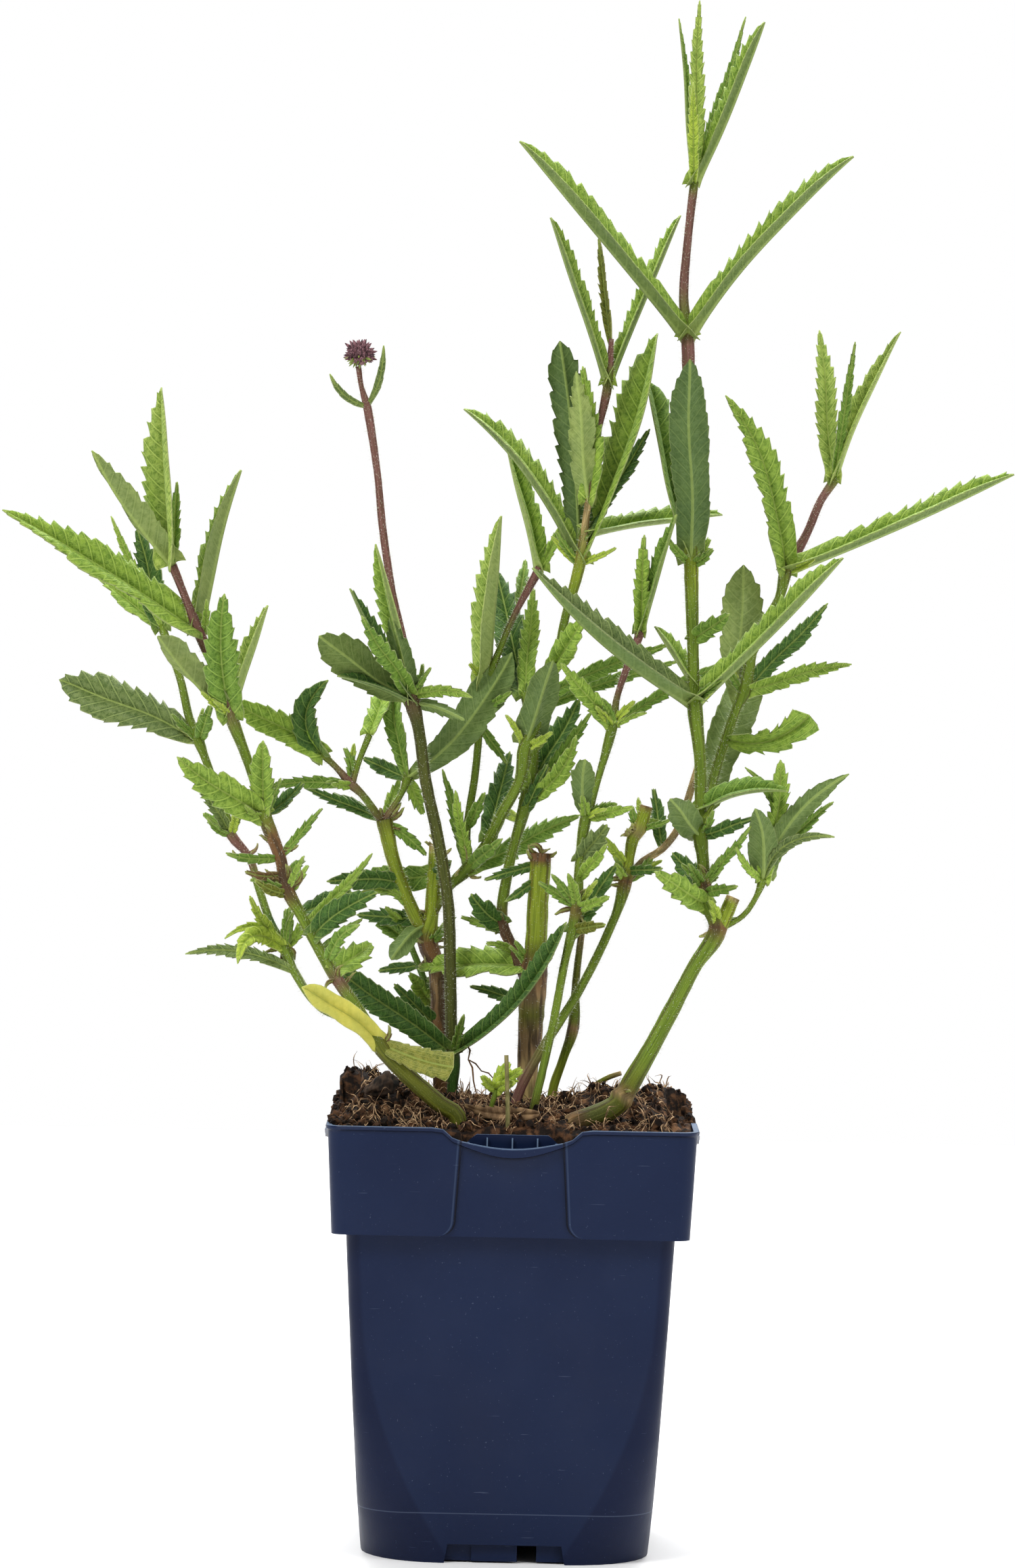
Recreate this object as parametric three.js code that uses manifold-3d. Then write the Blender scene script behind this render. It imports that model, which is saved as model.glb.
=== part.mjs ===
// A potted purpletop vervain: a square plastic pot, the soil in it and the leafy stems that stand in
// the soil. Millimetres, +Z up, origin at the middle of the pot's base, the pot's front toward -Y.
import * as THREE from 'three';
import Module from 'manifold-3d';

const wasm = await Module();
wasm.setup();

// Clearance between pieces that touch
const GAP = 0.3;

// Pot
const POT_HEIGHT = 131.5;
const POT_WALL = 1.2;
const BODY_HALF_BOTTOM = 43.5;
const BODY_HALF_STEP = 44.6;
const BODY_STEP_HEIGHT = 16;
const BODY_HALF_TOP = 49.1;
const BODY_TOP = 99;
const BODY_ROUND_TOP = 62;
const CORNER_RADIUS = 4;
const CORNER_EXTRA = 20.5;
const BAND_HALF_BOTTOM = 53.4;
const BAND_HALF_TOP = 55;
const PANEL_HALF = 16;
const PANEL_RECESS = 0.8;
const DIP_DEPTH = 4.5;
const DIP_INNER = 16;
const DIP_OUTER = 22;
const LIP_HEIGHT = 2;
const LIP_PROUD = 0.6;
const SMILE_LIP = 1;
const FLOOR_TOP = 6.8;
const FLOOR_BOTTOM = 5.6;
const NOTCH_HALF = 18;
const NOTCH_HEIGHT = 5.6;
const FOOT_RADIUS = 14;
const POCKET_HALF = 13.5;
const POCKET_GAP = 2.6;
const POCKET_DEPTH = 22;
const RIB_SPACING = 8;
const RIB_WIDTH = 0.7;
const RIB_DEPTH = 1.2;
const DRAIN_WIDTH = 4;
const DRAIN_LENGTH = 12;
const DRAIN_FROM_WALL = 12;

// Soil
const SOIL_LEVEL = 133;
const STEM_ROOT = 112;

// Leaf blades
const BLADE = 0.62;
const TOOTH_NOTCH = 0.24;
const TEETH_FROM = 0.22;
const LEAF_LEAN = 1.7;

// The front view that fixes where the plant's pieces stand: a piece read at (x, z) in the plane of the
// pot's middle keeps its place in that view when it is moved to another depth.
const EYE_X = -3.6;
const EYE_Z = 296.5;
const EYE_DISTANCE = 1805;

function placed(x, z, depth) {
  const scale = depth / EYE_DISTANCE;
  return new THREE.Vector3(x + (x - EYE_X) * scale, depth, z + (z - EYE_Z) * scale);
}

// Closed solids from points and triangles
function solidOf(points, faces) {
  const mesh = new wasm.Mesh({
    numProp: 3,
    vertProperties: new Float32Array(points.flatMap((point) => [point.x, point.y, point.z])),
    triVerts: new Uint32Array(faces.flat()),
  });
  return new wasm.Manifold(mesh);
}

function solidOfGeometry(source) {
  const points = [];
  const faces = [];
  const keys = new Map();
  const geometry = source.index ? source.toNonIndexed() : source;
  const position = geometry.getAttribute('position');
  const merged = [];
  for (let i = 0; i < position.count; i += 1) {
    const point = new THREE.Vector3().fromBufferAttribute(position, i);
    const key = [point.x, point.y, point.z].map((value) => Math.round(value * 1e4)).join(' ');
    if (!keys.has(key)) {
      keys.set(key, points.length);
      points.push(point);
    }
    merged.push(keys.get(key));
  }
  for (let i = 0; i < merged.length; i += 3) {
    const [a, b, c] = merged.slice(i, i + 3);
    if (a !== b && b !== c && a !== c) {
      faces.push([a, b, c]);
    }
  }
  return solidOf(points, faces);
}

function boxSolid(width, depth, height, x, y, z) {
  const box = new THREE.BoxGeometry(width, depth, height);
  box.translate(x, y, z);
  return solidOfGeometry(box);
}

function unionOf(solids) {
  return wasm.Manifold.union(solids);
}

function largestPiece(solid) {
  const pieces = solid.decompose();
  pieces.sort((a, b) => b.volume() - a.volume());
  return pieces[0];
}

// A round tapered rod through points [x, z, depth, radius], closed at both ends
function rod(stations, grow = 0) {
  const centres = stations.map(([x, z, depth]) => placed(x, z, depth));
  const curve = new THREE.CatmullRomCurve3(centres, false, 'centripetal');
  const thickest = Math.max(...stations.map((station) => station[3]));
  const sides = thickest > 1.7 ? 7 : 5;
  const points = [];
  const faces = [];
  const last = stations.length - 1;
  stations.forEach((station, index) => {
    const tangent = curve.getTangent(index / last);
    const across = new THREE.Vector3().crossVectors(tangent, new THREE.Vector3(0, 1, 0)).normalize();
    const along = new THREE.Vector3().crossVectors(tangent, across);
    const centre = centres[index].clone();
    if (index === 0) {
      centre.addScaledVector(tangent, -grow);
    }
    if (index === last) {
      centre.addScaledVector(tangent, grow);
    }
    for (let side = 0; side < sides; side += 1) {
      const angle = (2 * Math.PI * side) / sides;
      const point = centre.clone();
      point.addScaledVector(across, Math.cos(angle) * (station[3] + grow));
      point.addScaledVector(along, Math.sin(angle) * (station[3] + grow));
      points.push(point);
    }
  });
  for (let ring = 0; ring < last; ring += 1) {
    for (let side = 0; side < sides; side += 1) {
      const a = ring * sides + side;
      const b = ring * sides + ((side + 1) % sides);
      faces.push([a, b, a + sides], [b, b + sides, a + sides]);
    }
  }
  for (let side = 1; side < sides - 1; side += 1) {
    faces.push([0, side + 1, side]);
    faces.push([last * sides, last * sides + side, last * sides + side + 1]);
  }
  return solidOf(points, faces);
}

// The point of a stem's centre line at a height read in the front view
function pointOnStem(stations, height) {
  const upper = Math.max(1, stations.findIndex((station) => station[1] >= height));
  const end = stations[stations.length - 1][1] < height ? stations.length - 1 : upper;
  const low = stations[end - 1];
  const high = stations[end];
  const share = Math.min(1, Math.max(0, (height - low[1]) / (high[1] - low[1])));
  return [0, 1, 2].map((part) => low[part] + (high[part] - low[part]) * share);
}

// Leaf outlines: share of the full width at the base, and where the blade is widest
const CLASPING = { base: 0.45, peak: 0.42 };
const NARROW = { base: 0.28, peak: 0.45 };
const SPOON = { base: 0.2, peak: 0.66 };

function bladeShare(u, outline) {
  if (u < outline.peak) {
    const left = 1 - u / outline.peak;
    return outline.base + (1 - outline.base) * (1 - left * left);
  }
  return 1 - ((u - outline.peak) / (1 - outline.peak)) ** 1.6;
}

// Edge stations of a half-blade, as [share along the leaf, share of the half width]
function edgeStations(teeth, outline) {
  const stations = [[0, bladeShare(0, outline)]];
  if (teeth === 0) {
    [0.34, 0.7].forEach((u) => stations.push([u, bladeShare(u, outline)]));
    return stations;
  }
  const step = (0.97 - TEETH_FROM) / teeth;
  for (let tooth = 0; tooth < teeth; tooth += 1) {
    const notch = TEETH_FROM + step * tooth;
    const point = notch + step * 0.72;
    stations.push([notch, bladeShare(notch, outline) * (tooth === 0 ? 1 : 1 - TOOTH_NOTCH)]);
    stations.push([point, bladeShare(point, outline)]);
  }
  return stations;
}

function teethOf(length, half) {
  if (half < 2.5 || length < 17) {
    return 0;
  }
  if (length > 36) {
    return 4;
  }
  return length > 24 ? 3 : 2;
}

// One folded leaf blade. Spin turns its upper side away from the viewer and fold raises both halves.
function blade(base, row, grow = 0) {
  const [, tipX, tipZ, lean, bend, half, spin, fold, outline] = row;
  const [baseX, baseZ, baseDepth] = base;
  const tipDepth = baseDepth + lean * LEAF_LEAN;
  const run = new THREE.Vector2(tipX - baseX, tipZ - baseZ);
  const length = run.length();
  const midX = (baseX + tipX) / 2 - (run.y / length) * bend;
  const midZ = (baseZ + tipZ) / 2 + (run.x / length) * bend;
  const start = placed(baseX, baseZ, baseDepth);
  const tip = placed(tipX, tipZ, tipDepth);
  const middle = placed(midX, midZ, (baseDepth + tipDepth) / 2);
  const control = middle.clone().multiplyScalar(2).sub(start.clone().add(tip).multiplyScalar(0.5));
  const spine = new THREE.QuadraticBezierCurve3(start, control, tip);
  const turn = THREE.MathUtils.degToRad(spin);
  const lift = THREE.MathUtils.degToRad(fold);
  const teeth = teethOf(length, half);
  const ribCount = teeth === 0 ? 2 : Math.max(3, teeth);
  const ribStations = Array.from({ length: ribCount }, (_, index) => index / ribCount);
  const edges = edgeStations(teeth, outline);
  const thickness = BLADE / 2 + grow;

  function frameAt(u) {
    const tangent = spine.getTangent(u);
    const right = new THREE.Vector3(tangent.z, 0, -tangent.x).normalize();
    const front = new THREE.Vector3().crossVectors(right, tangent).normalize();
    const side = right.clone().multiplyScalar(Math.cos(turn)).addScaledVector(front, Math.sin(turn));
    const upper = right.clone().multiplyScalar(-Math.sin(turn)).addScaledVector(front, Math.cos(turn));
    return { centre: spine.getPoint(u), tangent, side, upper };
  }

  const points = [];
  const faces = [];
  function addPair(centre, normal, reach) {
    points.push(centre.clone().addScaledVector(normal, reach));
    points.push(centre.clone().addScaledVector(normal, -reach));
    return points.length - 2;
  }
  const rib = ribStations.map((u) => {
    const frame = frameAt(u);
    const centre = frame.centre.addScaledVector(frame.tangent, u === 0 ? -grow : 0);
    return addPair(centre, frame.upper, thickness / Math.cos(lift));
  });
  const end = frameAt(1);
  const tipPair = addPair(end.centre.addScaledVector(end.tangent, grow), end.upper, thickness);
  const ribU = [...ribStations, 1];
  rib.push(tipPair);

  [1, -1].forEach((hand) => {
    const rim = edges.map(([u, share]) => {
      const frame = frameAt(u);
      const outward = frame.side.clone().multiplyScalar(hand * Math.cos(lift));
      outward.addScaledVector(frame.upper, Math.sin(lift));
      const normal = frame.side.clone().multiplyScalar(-hand * Math.sin(lift));
      normal.addScaledVector(frame.upper, Math.cos(lift));
      const centre = frame.centre.addScaledVector(outward, half * share + grow);
      centre.addScaledVector(frame.tangent, u === 0 ? -grow : 0);
      return addPair(centre, normal, thickness);
    });
    const rimU = [...edges.map(([u]) => u), 1];
    rim.push(tipPair);
    const add = (a, b, c) => faces.push(hand > 0 ? [a, b, c] : [a, c, b]);
    let i = 0;
    let j = 0;
    while (i < rib.length - 1 || j < rim.length - 1) {
      const moveRib = j === rim.length - 1 || (i < rib.length - 1 && ribU[i + 1] <= rimU[j + 1]);
      const nextRib = moveRib ? rib[i + 1] : rib[i];
      const nextRim = moveRib ? rim[j] : rim[j + 1];
      if (moveRib && nextRib !== rim[j]) {
        add(rib[i], rim[j], nextRib);
        add(rib[i] + 1, nextRib + 1, rim[j] + 1);
      }
      if (!moveRib && nextRim !== rib[i]) {
        add(rib[i], rim[j], nextRim);
        add(rib[i] + 1, nextRim + 1, rim[j] + 1);
      }
      i += moveRib ? 1 : 0;
      j += moveRib ? 0 : 1;
    }
    for (let k = 0; k < rim.length - 1; k += 1) {
      add(rim[k], rim[k] + 1, rim[k + 1]);
      add(rim[k] + 1, rim[k + 1] + 1, rim[k + 1]);
    }
    add(rib[0], rib[0] + 1, rim[0]);
    add(rib[0] + 1, rim[0] + 1, rim[0]);
  });
  return solidOf(points, faces);
}

// Stems: points [x, z, depth, radius] from the root or the parent stem to the tip
const STEMS = {
  leftMain: [
    [-15, STEM_ROOT, -38, 2.7], [-17, 130, -38, 2.7], [-22, 133.5, -38, 2.7], [-31, 141, -36, 2.7],
    [-40, 150, -34, 2.7], [-45, 158, -32, 1.8], [-55, 172, -27, 2], [-60, 180, -23, 1.7],
    [-65.5, 190, -20, 1.7], [-70, 198, -18, 2.2], [-72.5, 208, -15, 1.9], [-77.5, 220.5, -12, 2.3],
    [-81, 232, -12, 1.6], [-84, 240, -13, 1.6], [-88, 250, -15, 2.1], [-92, 262, -18, 1.3],
    [-98, 275, -22, 1.8], [-103, 287, -25, 1.2], [-107, 296.5, -28, 1.4],
  ],
  leftFork: [
    [-41, 151, -34, 1.5], [-50, 158, -27, 1.3], [-60, 163, -20, 1.3], [-68, 174, -9, 1.4],
    [-70.5, 180, -5, 1.9], [-75, 188, -1, 1.3], [-79, 199, 4, 1.3], [-82, 208, 8, 1.2],
    [-87.5, 214.5, 10, 1.7], [-89, 220, 12, 1.3], [-96, 238, 18, 1.3], [-98, 243, 20, 1.8],
    [-101, 250, 22, 1.4], [-104, 262, 26, 1.3], [-110, 278, 31, 1.4],
  ],
  flowering: [
    [-18, STEM_ROOT, 2, 1.6], [-18.5, 136, 2, 1.6], [-18.5, 148, 2, 2.3], [-19, 152, 2, 1.9],
    [-20, 175, 2, 1.95], [-21, 195, 1, 1.9], [-24.5, 215, 1, 1.9], [-28.5, 232, 0, 1.9],
    [-31, 248, 0, 1.9], [-33, 256, -1, 2.5], [-34, 262, -1, 1.6], [-36.5, 275, -2, 1.5],
    [-40, 290, -1, 1.25], [-43.3, 310, 3, 1.25], [-45, 325, 6, 1.15], [-48.5, 345.5, 11, 1.4],
    [-50.5, 352, 12, 0.8], [-51.5, 358, 13, 0.9],
  ],
  oldLeft: [
    [-21, STEM_ROOT, 14, 2.4], [-22, 136, 14, 2.4], [-23, 155, 14, 2.5], [-24, 175, 14, 2.7],
    [-27, 183, 14, 3.2], [-26, 192, 14, 2], [-25, 213, 14, 1.8],
  ],
  oldLeftFork: [
    [-27, 184, 14, 2.2], [-32, 193, 13, 2.2], [-38, 208, 10, 2.2], [-41, 220.5, 8, 2.7],
  ],
  farTwig: [
    [-41, 219, 8, 1.3], [-48, 228, 6, 1.2], [-51, 230.5, 5, 1.6], [-56, 236, 5, 1], [-60.5, 240, 5, 1.2],
  ],
  midTwig: [[-51, 230.5, 5, 1], [-49, 238, 4, 0.9], [-46, 246, 4, 1.1]],
  nearTwig: [[-41, 220, 8, 1.2], [-36, 228, 5, 0.9], [-34, 233.5, 4, 1.6]],
  middle: [
    [-28, 186, 14, 1.2], [-23.5, 195.5, 13, 1.3], [-21, 200, 13, 1.5], [-15.5, 205.5, 11, 2.2],
    [-10, 213, 8, 1.7], [-5, 223, 5, 1.7], [0, 233, 2, 1.7], [1.5, 243, 0, 2.2], [5, 250, -1, 1.5],
    [11, 272, -3, 1.5], [13, 283, -3, 1.4], [17, 299, -4, 1.9], [19, 316, -5, 1.1],
    [21.5, 338, -5, 1], [24.5, 354, -6, 1.5], [25.3, 368, -6, 0.8],
  ],
  middleFork: [
    [-15.5, 206, 11, 1.4], [-15.7, 218, 13, 1.25], [-13.5, 235, 14, 1.25], [-12.3, 250, 14, 1.2],
    [-10.5, 262, 13, 1.7], [-6, 275, 11, 1], [-2, 284.5, 9, 1], [5, 298, 8, 1.5],
  ],
  oldRight: [
    [4.5, STEM_ROOT, 0, 3.4], [4.5, 134, 0, 3.4], [4.3, 145, 0, 3.3], [4.8, 155, 0, 3.9],
    [5.5, 174, 0, 4.5], [6, 181, -1, 3.4], [6.6, 200, -2, 3.3], [7, 211, -2, 3.3],
  ],
  rightFork: [
    [3, 173, 1, 2], [-1, 182, 4, 1.8], [-4.5, 190, 6, 1.9], [-3, 205, 7, 1.7], [-1.5, 212, 8, 1.6],
    [2.5, 228.5, 8, 2.2], [4.3, 243, 10, 1.5], [1, 260, 12, 1.5],
  ],
  slender: [
    [3, STEM_ROOT, -29, 1.3], [6, 131, -28, 1.3], [9, 145, -26, 1.3], [12, 160, -24, 1.3],
    [15, 178, -21, 1.3], [18.3, 194, -18, 2], [18.8, 208, -16, 1.4], [20.5, 222, -14, 1.9],
    [24, 234, -11, 1.1], [28, 250, -8, 1.7], [29.5, 260, -6, 1], [36, 279, -2, 1.4],
  ],
  diagonal: [
    [-2, STEM_ROOT, -14, 1.6], [1, 135, -14, 1.6], [8, 150, -13, 1.5], [20, 170, -10, 1.4],
    [30, 192, -7, 1.4], [33, 203, -6, 2.3], [34, 210, -6, 1.6], [35, 216, -6, 2], [37, 219, -6, 2.3],
    [39, 226, -6, 2],
  ],
  tanFork: [
    [34, 204, -6, 1.3], [38, 209, -4, 1.2], [44, 213, -4, 1.2], [49, 220, -5, 1.2],
    [52, 230, -6, 1.2], [54.5, 239, -7, 1.1],
  ],
  short: [
    [10, STEM_ROOT, 20, 1.6], [12, 138, 20, 1.6], [15, 148, 19, 1.6], [18, 158, 17, 2.1],
    [18.5, 172, 15, 1.4], [20, 188, 12, 1.3],
  ],
  tall: [
    [14, STEM_ROOT + 4, -35, 2.4], [22, 128, -34, 2.4], [27, 131.5, -34, 2.4], [33, 136, -33, 2.9],
    [36, 142, -31, 2.6], [45, 158, -28, 2.5], [55, 178, -23, 2.3], [61.5, 189, -20, 3],
    [58, 196, -19, 2], [57, 202, -18, 2.4], [56.5, 210, -17, 1.9], [55.5, 217, -16, 2.4],
    [55.5, 225, -14, 2], [55, 240, -12, 1.9], [53, 257, -10, 2.4], [52.3, 270, -9, 1.8],
    [51, 300, -6, 2.3], [50, 330, -3, 1.7], [48.5, 368, -1, 2.1], [47, 381, 1, 1.5],
    [48, 400, 5, 1.3], [49.5, 416, 8, 1.4],
  ],
  tallFork: [
    [56, 217, -16, 1.6], [57.5, 226, -8, 1.5], [60, 238, 0, 1.6], [66, 257, 6, 1.6], [68, 261, 6, 2.2],
    [71, 277, 10, 1.6], [78, 290, 14, 1.5], [80, 298.5, 17, 2.1], [86, 310, 21, 1.4],
    [90, 320, 24, 1.3], [94.5, 327, 27, 1.5],
  ],
  cutStub: [[62, 189, -20, 2.3], [66, 198.7, -20, 2.2]],
  sideShoot: [[62, 189, -20, 1.2], [69, 193, -20, 0.9], [73, 199, -20, 0.9], [75, 204.5, -20, 1.5]],
};

// Leaves by stem: [height of the base on the stem, tip x, tip z, depth from the base to the tip, bend
// of the midrib to the left of its run, half width, spin, fold, outline]
const LEAVES = {
  leftMain: [
    [297, -111.5, 349, -12, 0, 8, 50, 38, CLASPING],
    [297, -132, 331, 6, 2, 8.5, -88, 56, CLASPING],
    [276, -159, 312.5, -6, -1, 7, -35, 35, CLASPING],
    [276, -87, 326, 6, 1, 5.6, 85, 56, CLASPING],
    [250, -111, 275, -8, 1, 9.5, -85, 54, CLASPING],
    [251, -91, 288, -12, 2, 6, 0, 25, CLASPING],
    [251, -78, 285, 4, 0, 4.5, 75, 50, CLASPING],
    [221, -104.5, 238, -10, 1, 5.5, 0, 22, CLASPING],
    [221, -66, 231, 3, -1, 3, 30, 40, NARROW],
    [222, -78.5, 243.5, -6, 0, 4.5, 15, 30, CLASPING],
    [190, -50, 207, 2, -1, 1.9, 20, 30, NARROW],
    [191, -50, 198, 8, 0, 3.6, 30, 25, NARROW],
    [184, -49, 195, -6, 0, 4.2, 20, 25, CLASPING],
    [173, -51, 182, 7, 0, 3.6, 20, 25, CLASPING],
    [176, -48, 188, -7, 2, 2.5, 10, 25, NARROW],
    [152, -64, 162, -8, 0, 3.8, -10, 20, CLASPING],
    [152, -24, 143, -8, -1, 4.2, 10, 25, CLASPING],
  ],
  leftFork: [
    [277, -130, 293, 6, 0, 3.2, -20, 30, NARROW],
    [277, -118, 308, 2, 0, 4.6, 10, 25, CLASPING],
    [243, -141, 261, 10, -1, 7.4, -10, 20, SPOON],
    [243, -94.5, 254, -6, 0, 2.7, 0, 25, NARROW],
    [214.5, -99, 233, -6, 0, 2.2, 0, 30, NARROW],
    [180, -81.5, 196, -7, 1, 2.2, 0, 30, NARROW],
    [180, -69.5, 193, 2, 0, 2.1, 0, 30, NARROW],
    [180, -62, 191.5, 3, 0, 2.1, 10, 30, NARROW],
    [180, -85, 175.5, -11, -6.5, 3.2, -20, 25, CLASPING],
    [173, -101, 178, 6, -3.5, 2.4, -10, 30, NARROW],
  ],
  flowering: [
    [256, -52.5, 290.5, -15, 1, 4, -60, 45, CLASPING],
    [256, -40.5, 282, -8, 0, 4, 180, 25, CLASPING],
    [257, -62, 276, -13, 1, 6.4, 180, 20, SPOON],
    [258, -49, 282, -21, 0, 3.4, 0, 30, CLASPING],
    [258, -45.5, 304, -11, -1, 5.5, 70, 48, CLASPING],
    [256, -56, 264, -9, -1, 3.6, -65, 40, CLASPING],
    [258, -15, 258, -7, 2, 2.2, -10, 30, NARROW],
    [256, -17, 251, -5, 1, 2.2, 180, 30, NARROW],
    [149, -57, 176, -8, 0, 4.7, 5, 22, CLASPING],
    [149, 15, 190, -17, -4.5, 4.6, 70, 42, CLASPING],
    [346, -60, 355.5, -6, 2, 1.5, -10, 30, NARROW],
    [346, -44, 364.5, -4, -1.5, 1.5, 10, 30, NARROW],
  ],
  oldLeft: [
    [157, -37, 170, -4, 0, 3.2, 10, 25, CLASPING],
    [189, -45, 176, -6, -1, 3.2, 10, 25, NARROW],
    [190, -49, 191, 4, 0, 3, 0, 25, CLASPING],
  ],
  oldLeftFork: [
    [201, -58, 201, -9, -1, 3.4, 0, 25, CLASPING],
    [220, -66, 230, 4, 0, 2.2, -10, 30, NARROW],
    [220, -57, 228, 10, 0, 1.9, 0, 30, NARROW],
    [220, -36.5, 233, 4, 0, 2.2, 0, 30, NARROW],
    [219, -28, 209.5, 0, 1, 2.2, 0, 30, NARROW],
  ],
  farTwig: [
    [230.5, -78, 229, -3, -1.5, 2.2, -5, 30, NARROW],
    [239.5, -59, 262.5, -3, 6, 4.8, 20, 35, CLASPING],
    [239.5, -90, 256, -1, -1, 4.7, -5, 22, CLASPING],
  ],
  midTwig: [[246, -39.5, 263.5, 8, 0, 4, 35, 32, CLASPING]],
  nearTwig: [
    [233, -39, 260, 6, 1, 3.6, 20, 30, SPOON],
    [233, -48, 239, 6, 0, 2.7, 0, 30, NARROW],
    [233, -29, 222, 5, 0, 2.6, 10, 25, NARROW],
    [233, -3, 272, 4, -3.3, 5.3, 180, 20, CLASPING],
  ],
  middle: [
    [354, 6.3, 404.5, -6, 0, 3.8, -72, 48, CLASPING],
    [354, 45.3, 406, 10, 0, 3.8, 72, 48, CLASPING],
    [366, 20.7, 399, 4, 0, 1.9, 30, 40, NARROW],
    [299, 39.5, 368, -13, 0, 7.8, 50, 38, CLASPING],
    [299, 11.5, 365.5, -11, 0, 6.9, 180, 20, CLASPING],
    [299, -19, 346, 7, -3.5, 6, -75, 48, CLASPING],
    [308, 37.5, 341, 7, 0, 3.2, 10, 30, CLASPING],
    [303, 61, 314.5, 17, -2, 4.4, 70, 45, CLASPING],
    [268, 19, 283, -9, 0, 4.2, 20, 25, CLASPING],
    [243, 10, 271, -9, 0, 5.3, 180, 22, CLASPING],
    [206, -19.5, 229.5, -5, 0, 2.4, 10, 30, NARROW],
    [206, -23.5, 236, -1, 0, 2, 0, 30, NARROW],
    [206, -5, 215, -11, 0, 2.6, 10, 25, NARROW],
    [206, 19, 223, 9, 0, 3.8, 0, 22, CLASPING],
    [214, -3, 242, 10, 0, 4.2, 0, 22, CLASPING],
  ],
  middleFork: [
    [262, -7.5, 313.5, -7, 0, 7, 82, 55, CLASPING],
    [297, -6, 336, 4, 0, 5.4, -72, 46, CLASPING],
    [286, 0.5, 300.5, 7, 0, 2.1, 0, 30, NARROW],
    [218, -10.5, 229, -5, 0, 2.1, 0, 30, NARROW],
  ],
  oldRight: [
    [176, -36, 173, 6, -1, 2.9, 0, 25, CLASPING],
    [165, -14, 170, 8, 0, 2.2, 0, 30, NARROW],
    [208, -10, 202.5, -3, 0, 1.9, 0, 30, NARROW],
  ],
  rightFork: [
    [258, -8.5, 297.5, 14, 0, 5.8, 0, 22, CLASPING],
    [259, 3, 292, 7, 0, 3.3, 0, 25, CLASPING],
    [255, 47, 276, -1, 2, 2.8, -10, 25, NARROW],
    [254, 50, 271, 5, 1, 2.3, -10, 25, NARROW],
    [229, 18, 258.5, 5, 0, 4.8, 0, 22, CLASPING],
    [229, 21.5, 254.5, -3, -1, 2.7, 0, 25, NARROW],
    [227, 17, 247, -10, -3, 3.2, 0, 25, CLASPING],
    [222, 8.5, 238, -4, 0, 2.4, 0, 30, NARROW],
    [221, -10, 225.5, 12, 0, 2.1, 0, 30, NARROW],
    [189, -14, 198, -4, 1, 4, 0, 25, CLASPING],
  ],
  slender: [
    [279, 36.5, 308.5, -8, 0, 2.8, 10, 30, CLASPING],
    [279, 46, 315, -10, 0, 3.8, 72, 48, CLASPING],
    [250, 12, 269, -8, 0, 3.2, 0, 25, CLASPING],
    [250, 66.5, 271, 8, 2, 2.2, 0, 30, NARROW],
    [222, 20, 240, -8, 1, 3.8, 180, 22, SPOON],
    [209, 27, 220, -3, 0, 3.7, 0, 25, CLASPING],
    [203, 27, 214, -7, 0, 2.2, 0, 30, NARROW],
    [222, 30, 226.5, -1, 0, 2.6, 0, 25, NARROW],
    [222, 35, 225.5, -5, 0, 2.1, 0, 30, NARROW],
    [195, 6.5, 202, -3, 0, 1.9, 0, 30, NARROW],
    [194, 28, 198, -5, 0, 2.1, 0, 30, NARROW],
    [187, 30, 208, 4, 0, 3.4, 0, 25, CLASPING],
    [188, 27, 189.5, -5, 0, 2.1, 0, 30, NARROW],
  ],
  diagonal: [
    [206, 44, 207, -6, 0, 1.9, 0, 30, NARROW],
  ],
  tanFork: [[213, 41, 231.5, 5, 0, 2.6, 0, 25, NARROW]],
  tall: [
    [415, 50, 471, -6, 0, 2.8, 0, 30, NARROW],
    [415, 44, 465.5, 4, 0, 1.8, -50, 40, NARROW],
    [415, 64, 466.5, 6, 0, 1.7, 10, 30, NARROW],
    [415, 69.5, 465, -5, -1, 5, 80, 50, CLASPING],
    [415, 48.5, 446, -12, 0, 1.9, 10, 30, NARROW],
    [368, -3.5, 427.5, -14, 0, 6.6, -82, 52, CLASPING],
    [368, 97.5, 425, -8, 2.5, 6, 80, 52, CLASPING],
    [300, 49, 361, -18, 0, 6.4, 180, 20, CLASPING],
    [300, 36.5, 354.5, 18, 1, 5.3, 10, 22, CLASPING],
    [257, 3, 298, -18, 3.5, 7.4, -82, 52, CLASPING],
    [257, 97, 303, -8, -1, 6.6, 72, 46, CLASPING],
    [263, 40.5, 281, 4, 0, 4.6, -70, 45, CLASPING],
    [277, 63, 285, -6, 0, 3.3, 0, 25, CLASPING],
    [217, 46, 228.5, -12, 0, 4.8, 180, 22, CLASPING],
    [217, 72, 223, -6, 0, 2.4, 0, 30, NARROW],
    [225, 82, 231.5, -6, 1, 3.6, 65, 42, CLASPING],
    [202, 47, 212, 5, 0, 3.2, 0, 25, CLASPING],
    [196, 42, 206, -11, 0, 4.2, 0, 22, CLASPING],
    [200, 67, 202, -10, 0, 2.1, 0, 30, NARROW],
  ],
  tallFork: [
    [222, 71, 270, 32, 1, 6.9, 180, 20, CLASPING],
    [298, 60.5, 351.5, -12, -4, 5.4, -20, 30, CLASPING],
    [298, 148.5, 329.5, -16, -1, 6, 75, 48, CLASPING],
    [326, 88.5, 372, 8, 0, 3.8, 0, 28, CLASPING],
    [326, 99.5, 368.5, -6, 0, 1.8, 0, 30, NARROW],
    [326, 113, 372, -2, 1, 4.6, 60, 42, CLASPING],
    [261, 93, 289, 6, 0, 3.2, 0, 25, CLASPING],
    [261, 100.5, 270.5, -6, 1, 2.8, 0, 25, CLASPING],
    [257, 64.5, 300, 10, 0, 6.9, 180, 18, SPOON],
    [246, 85.5, 248, -7, 0, 5.3, 0, 20, SPOON],
  ],
  sideShoot: [
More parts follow.
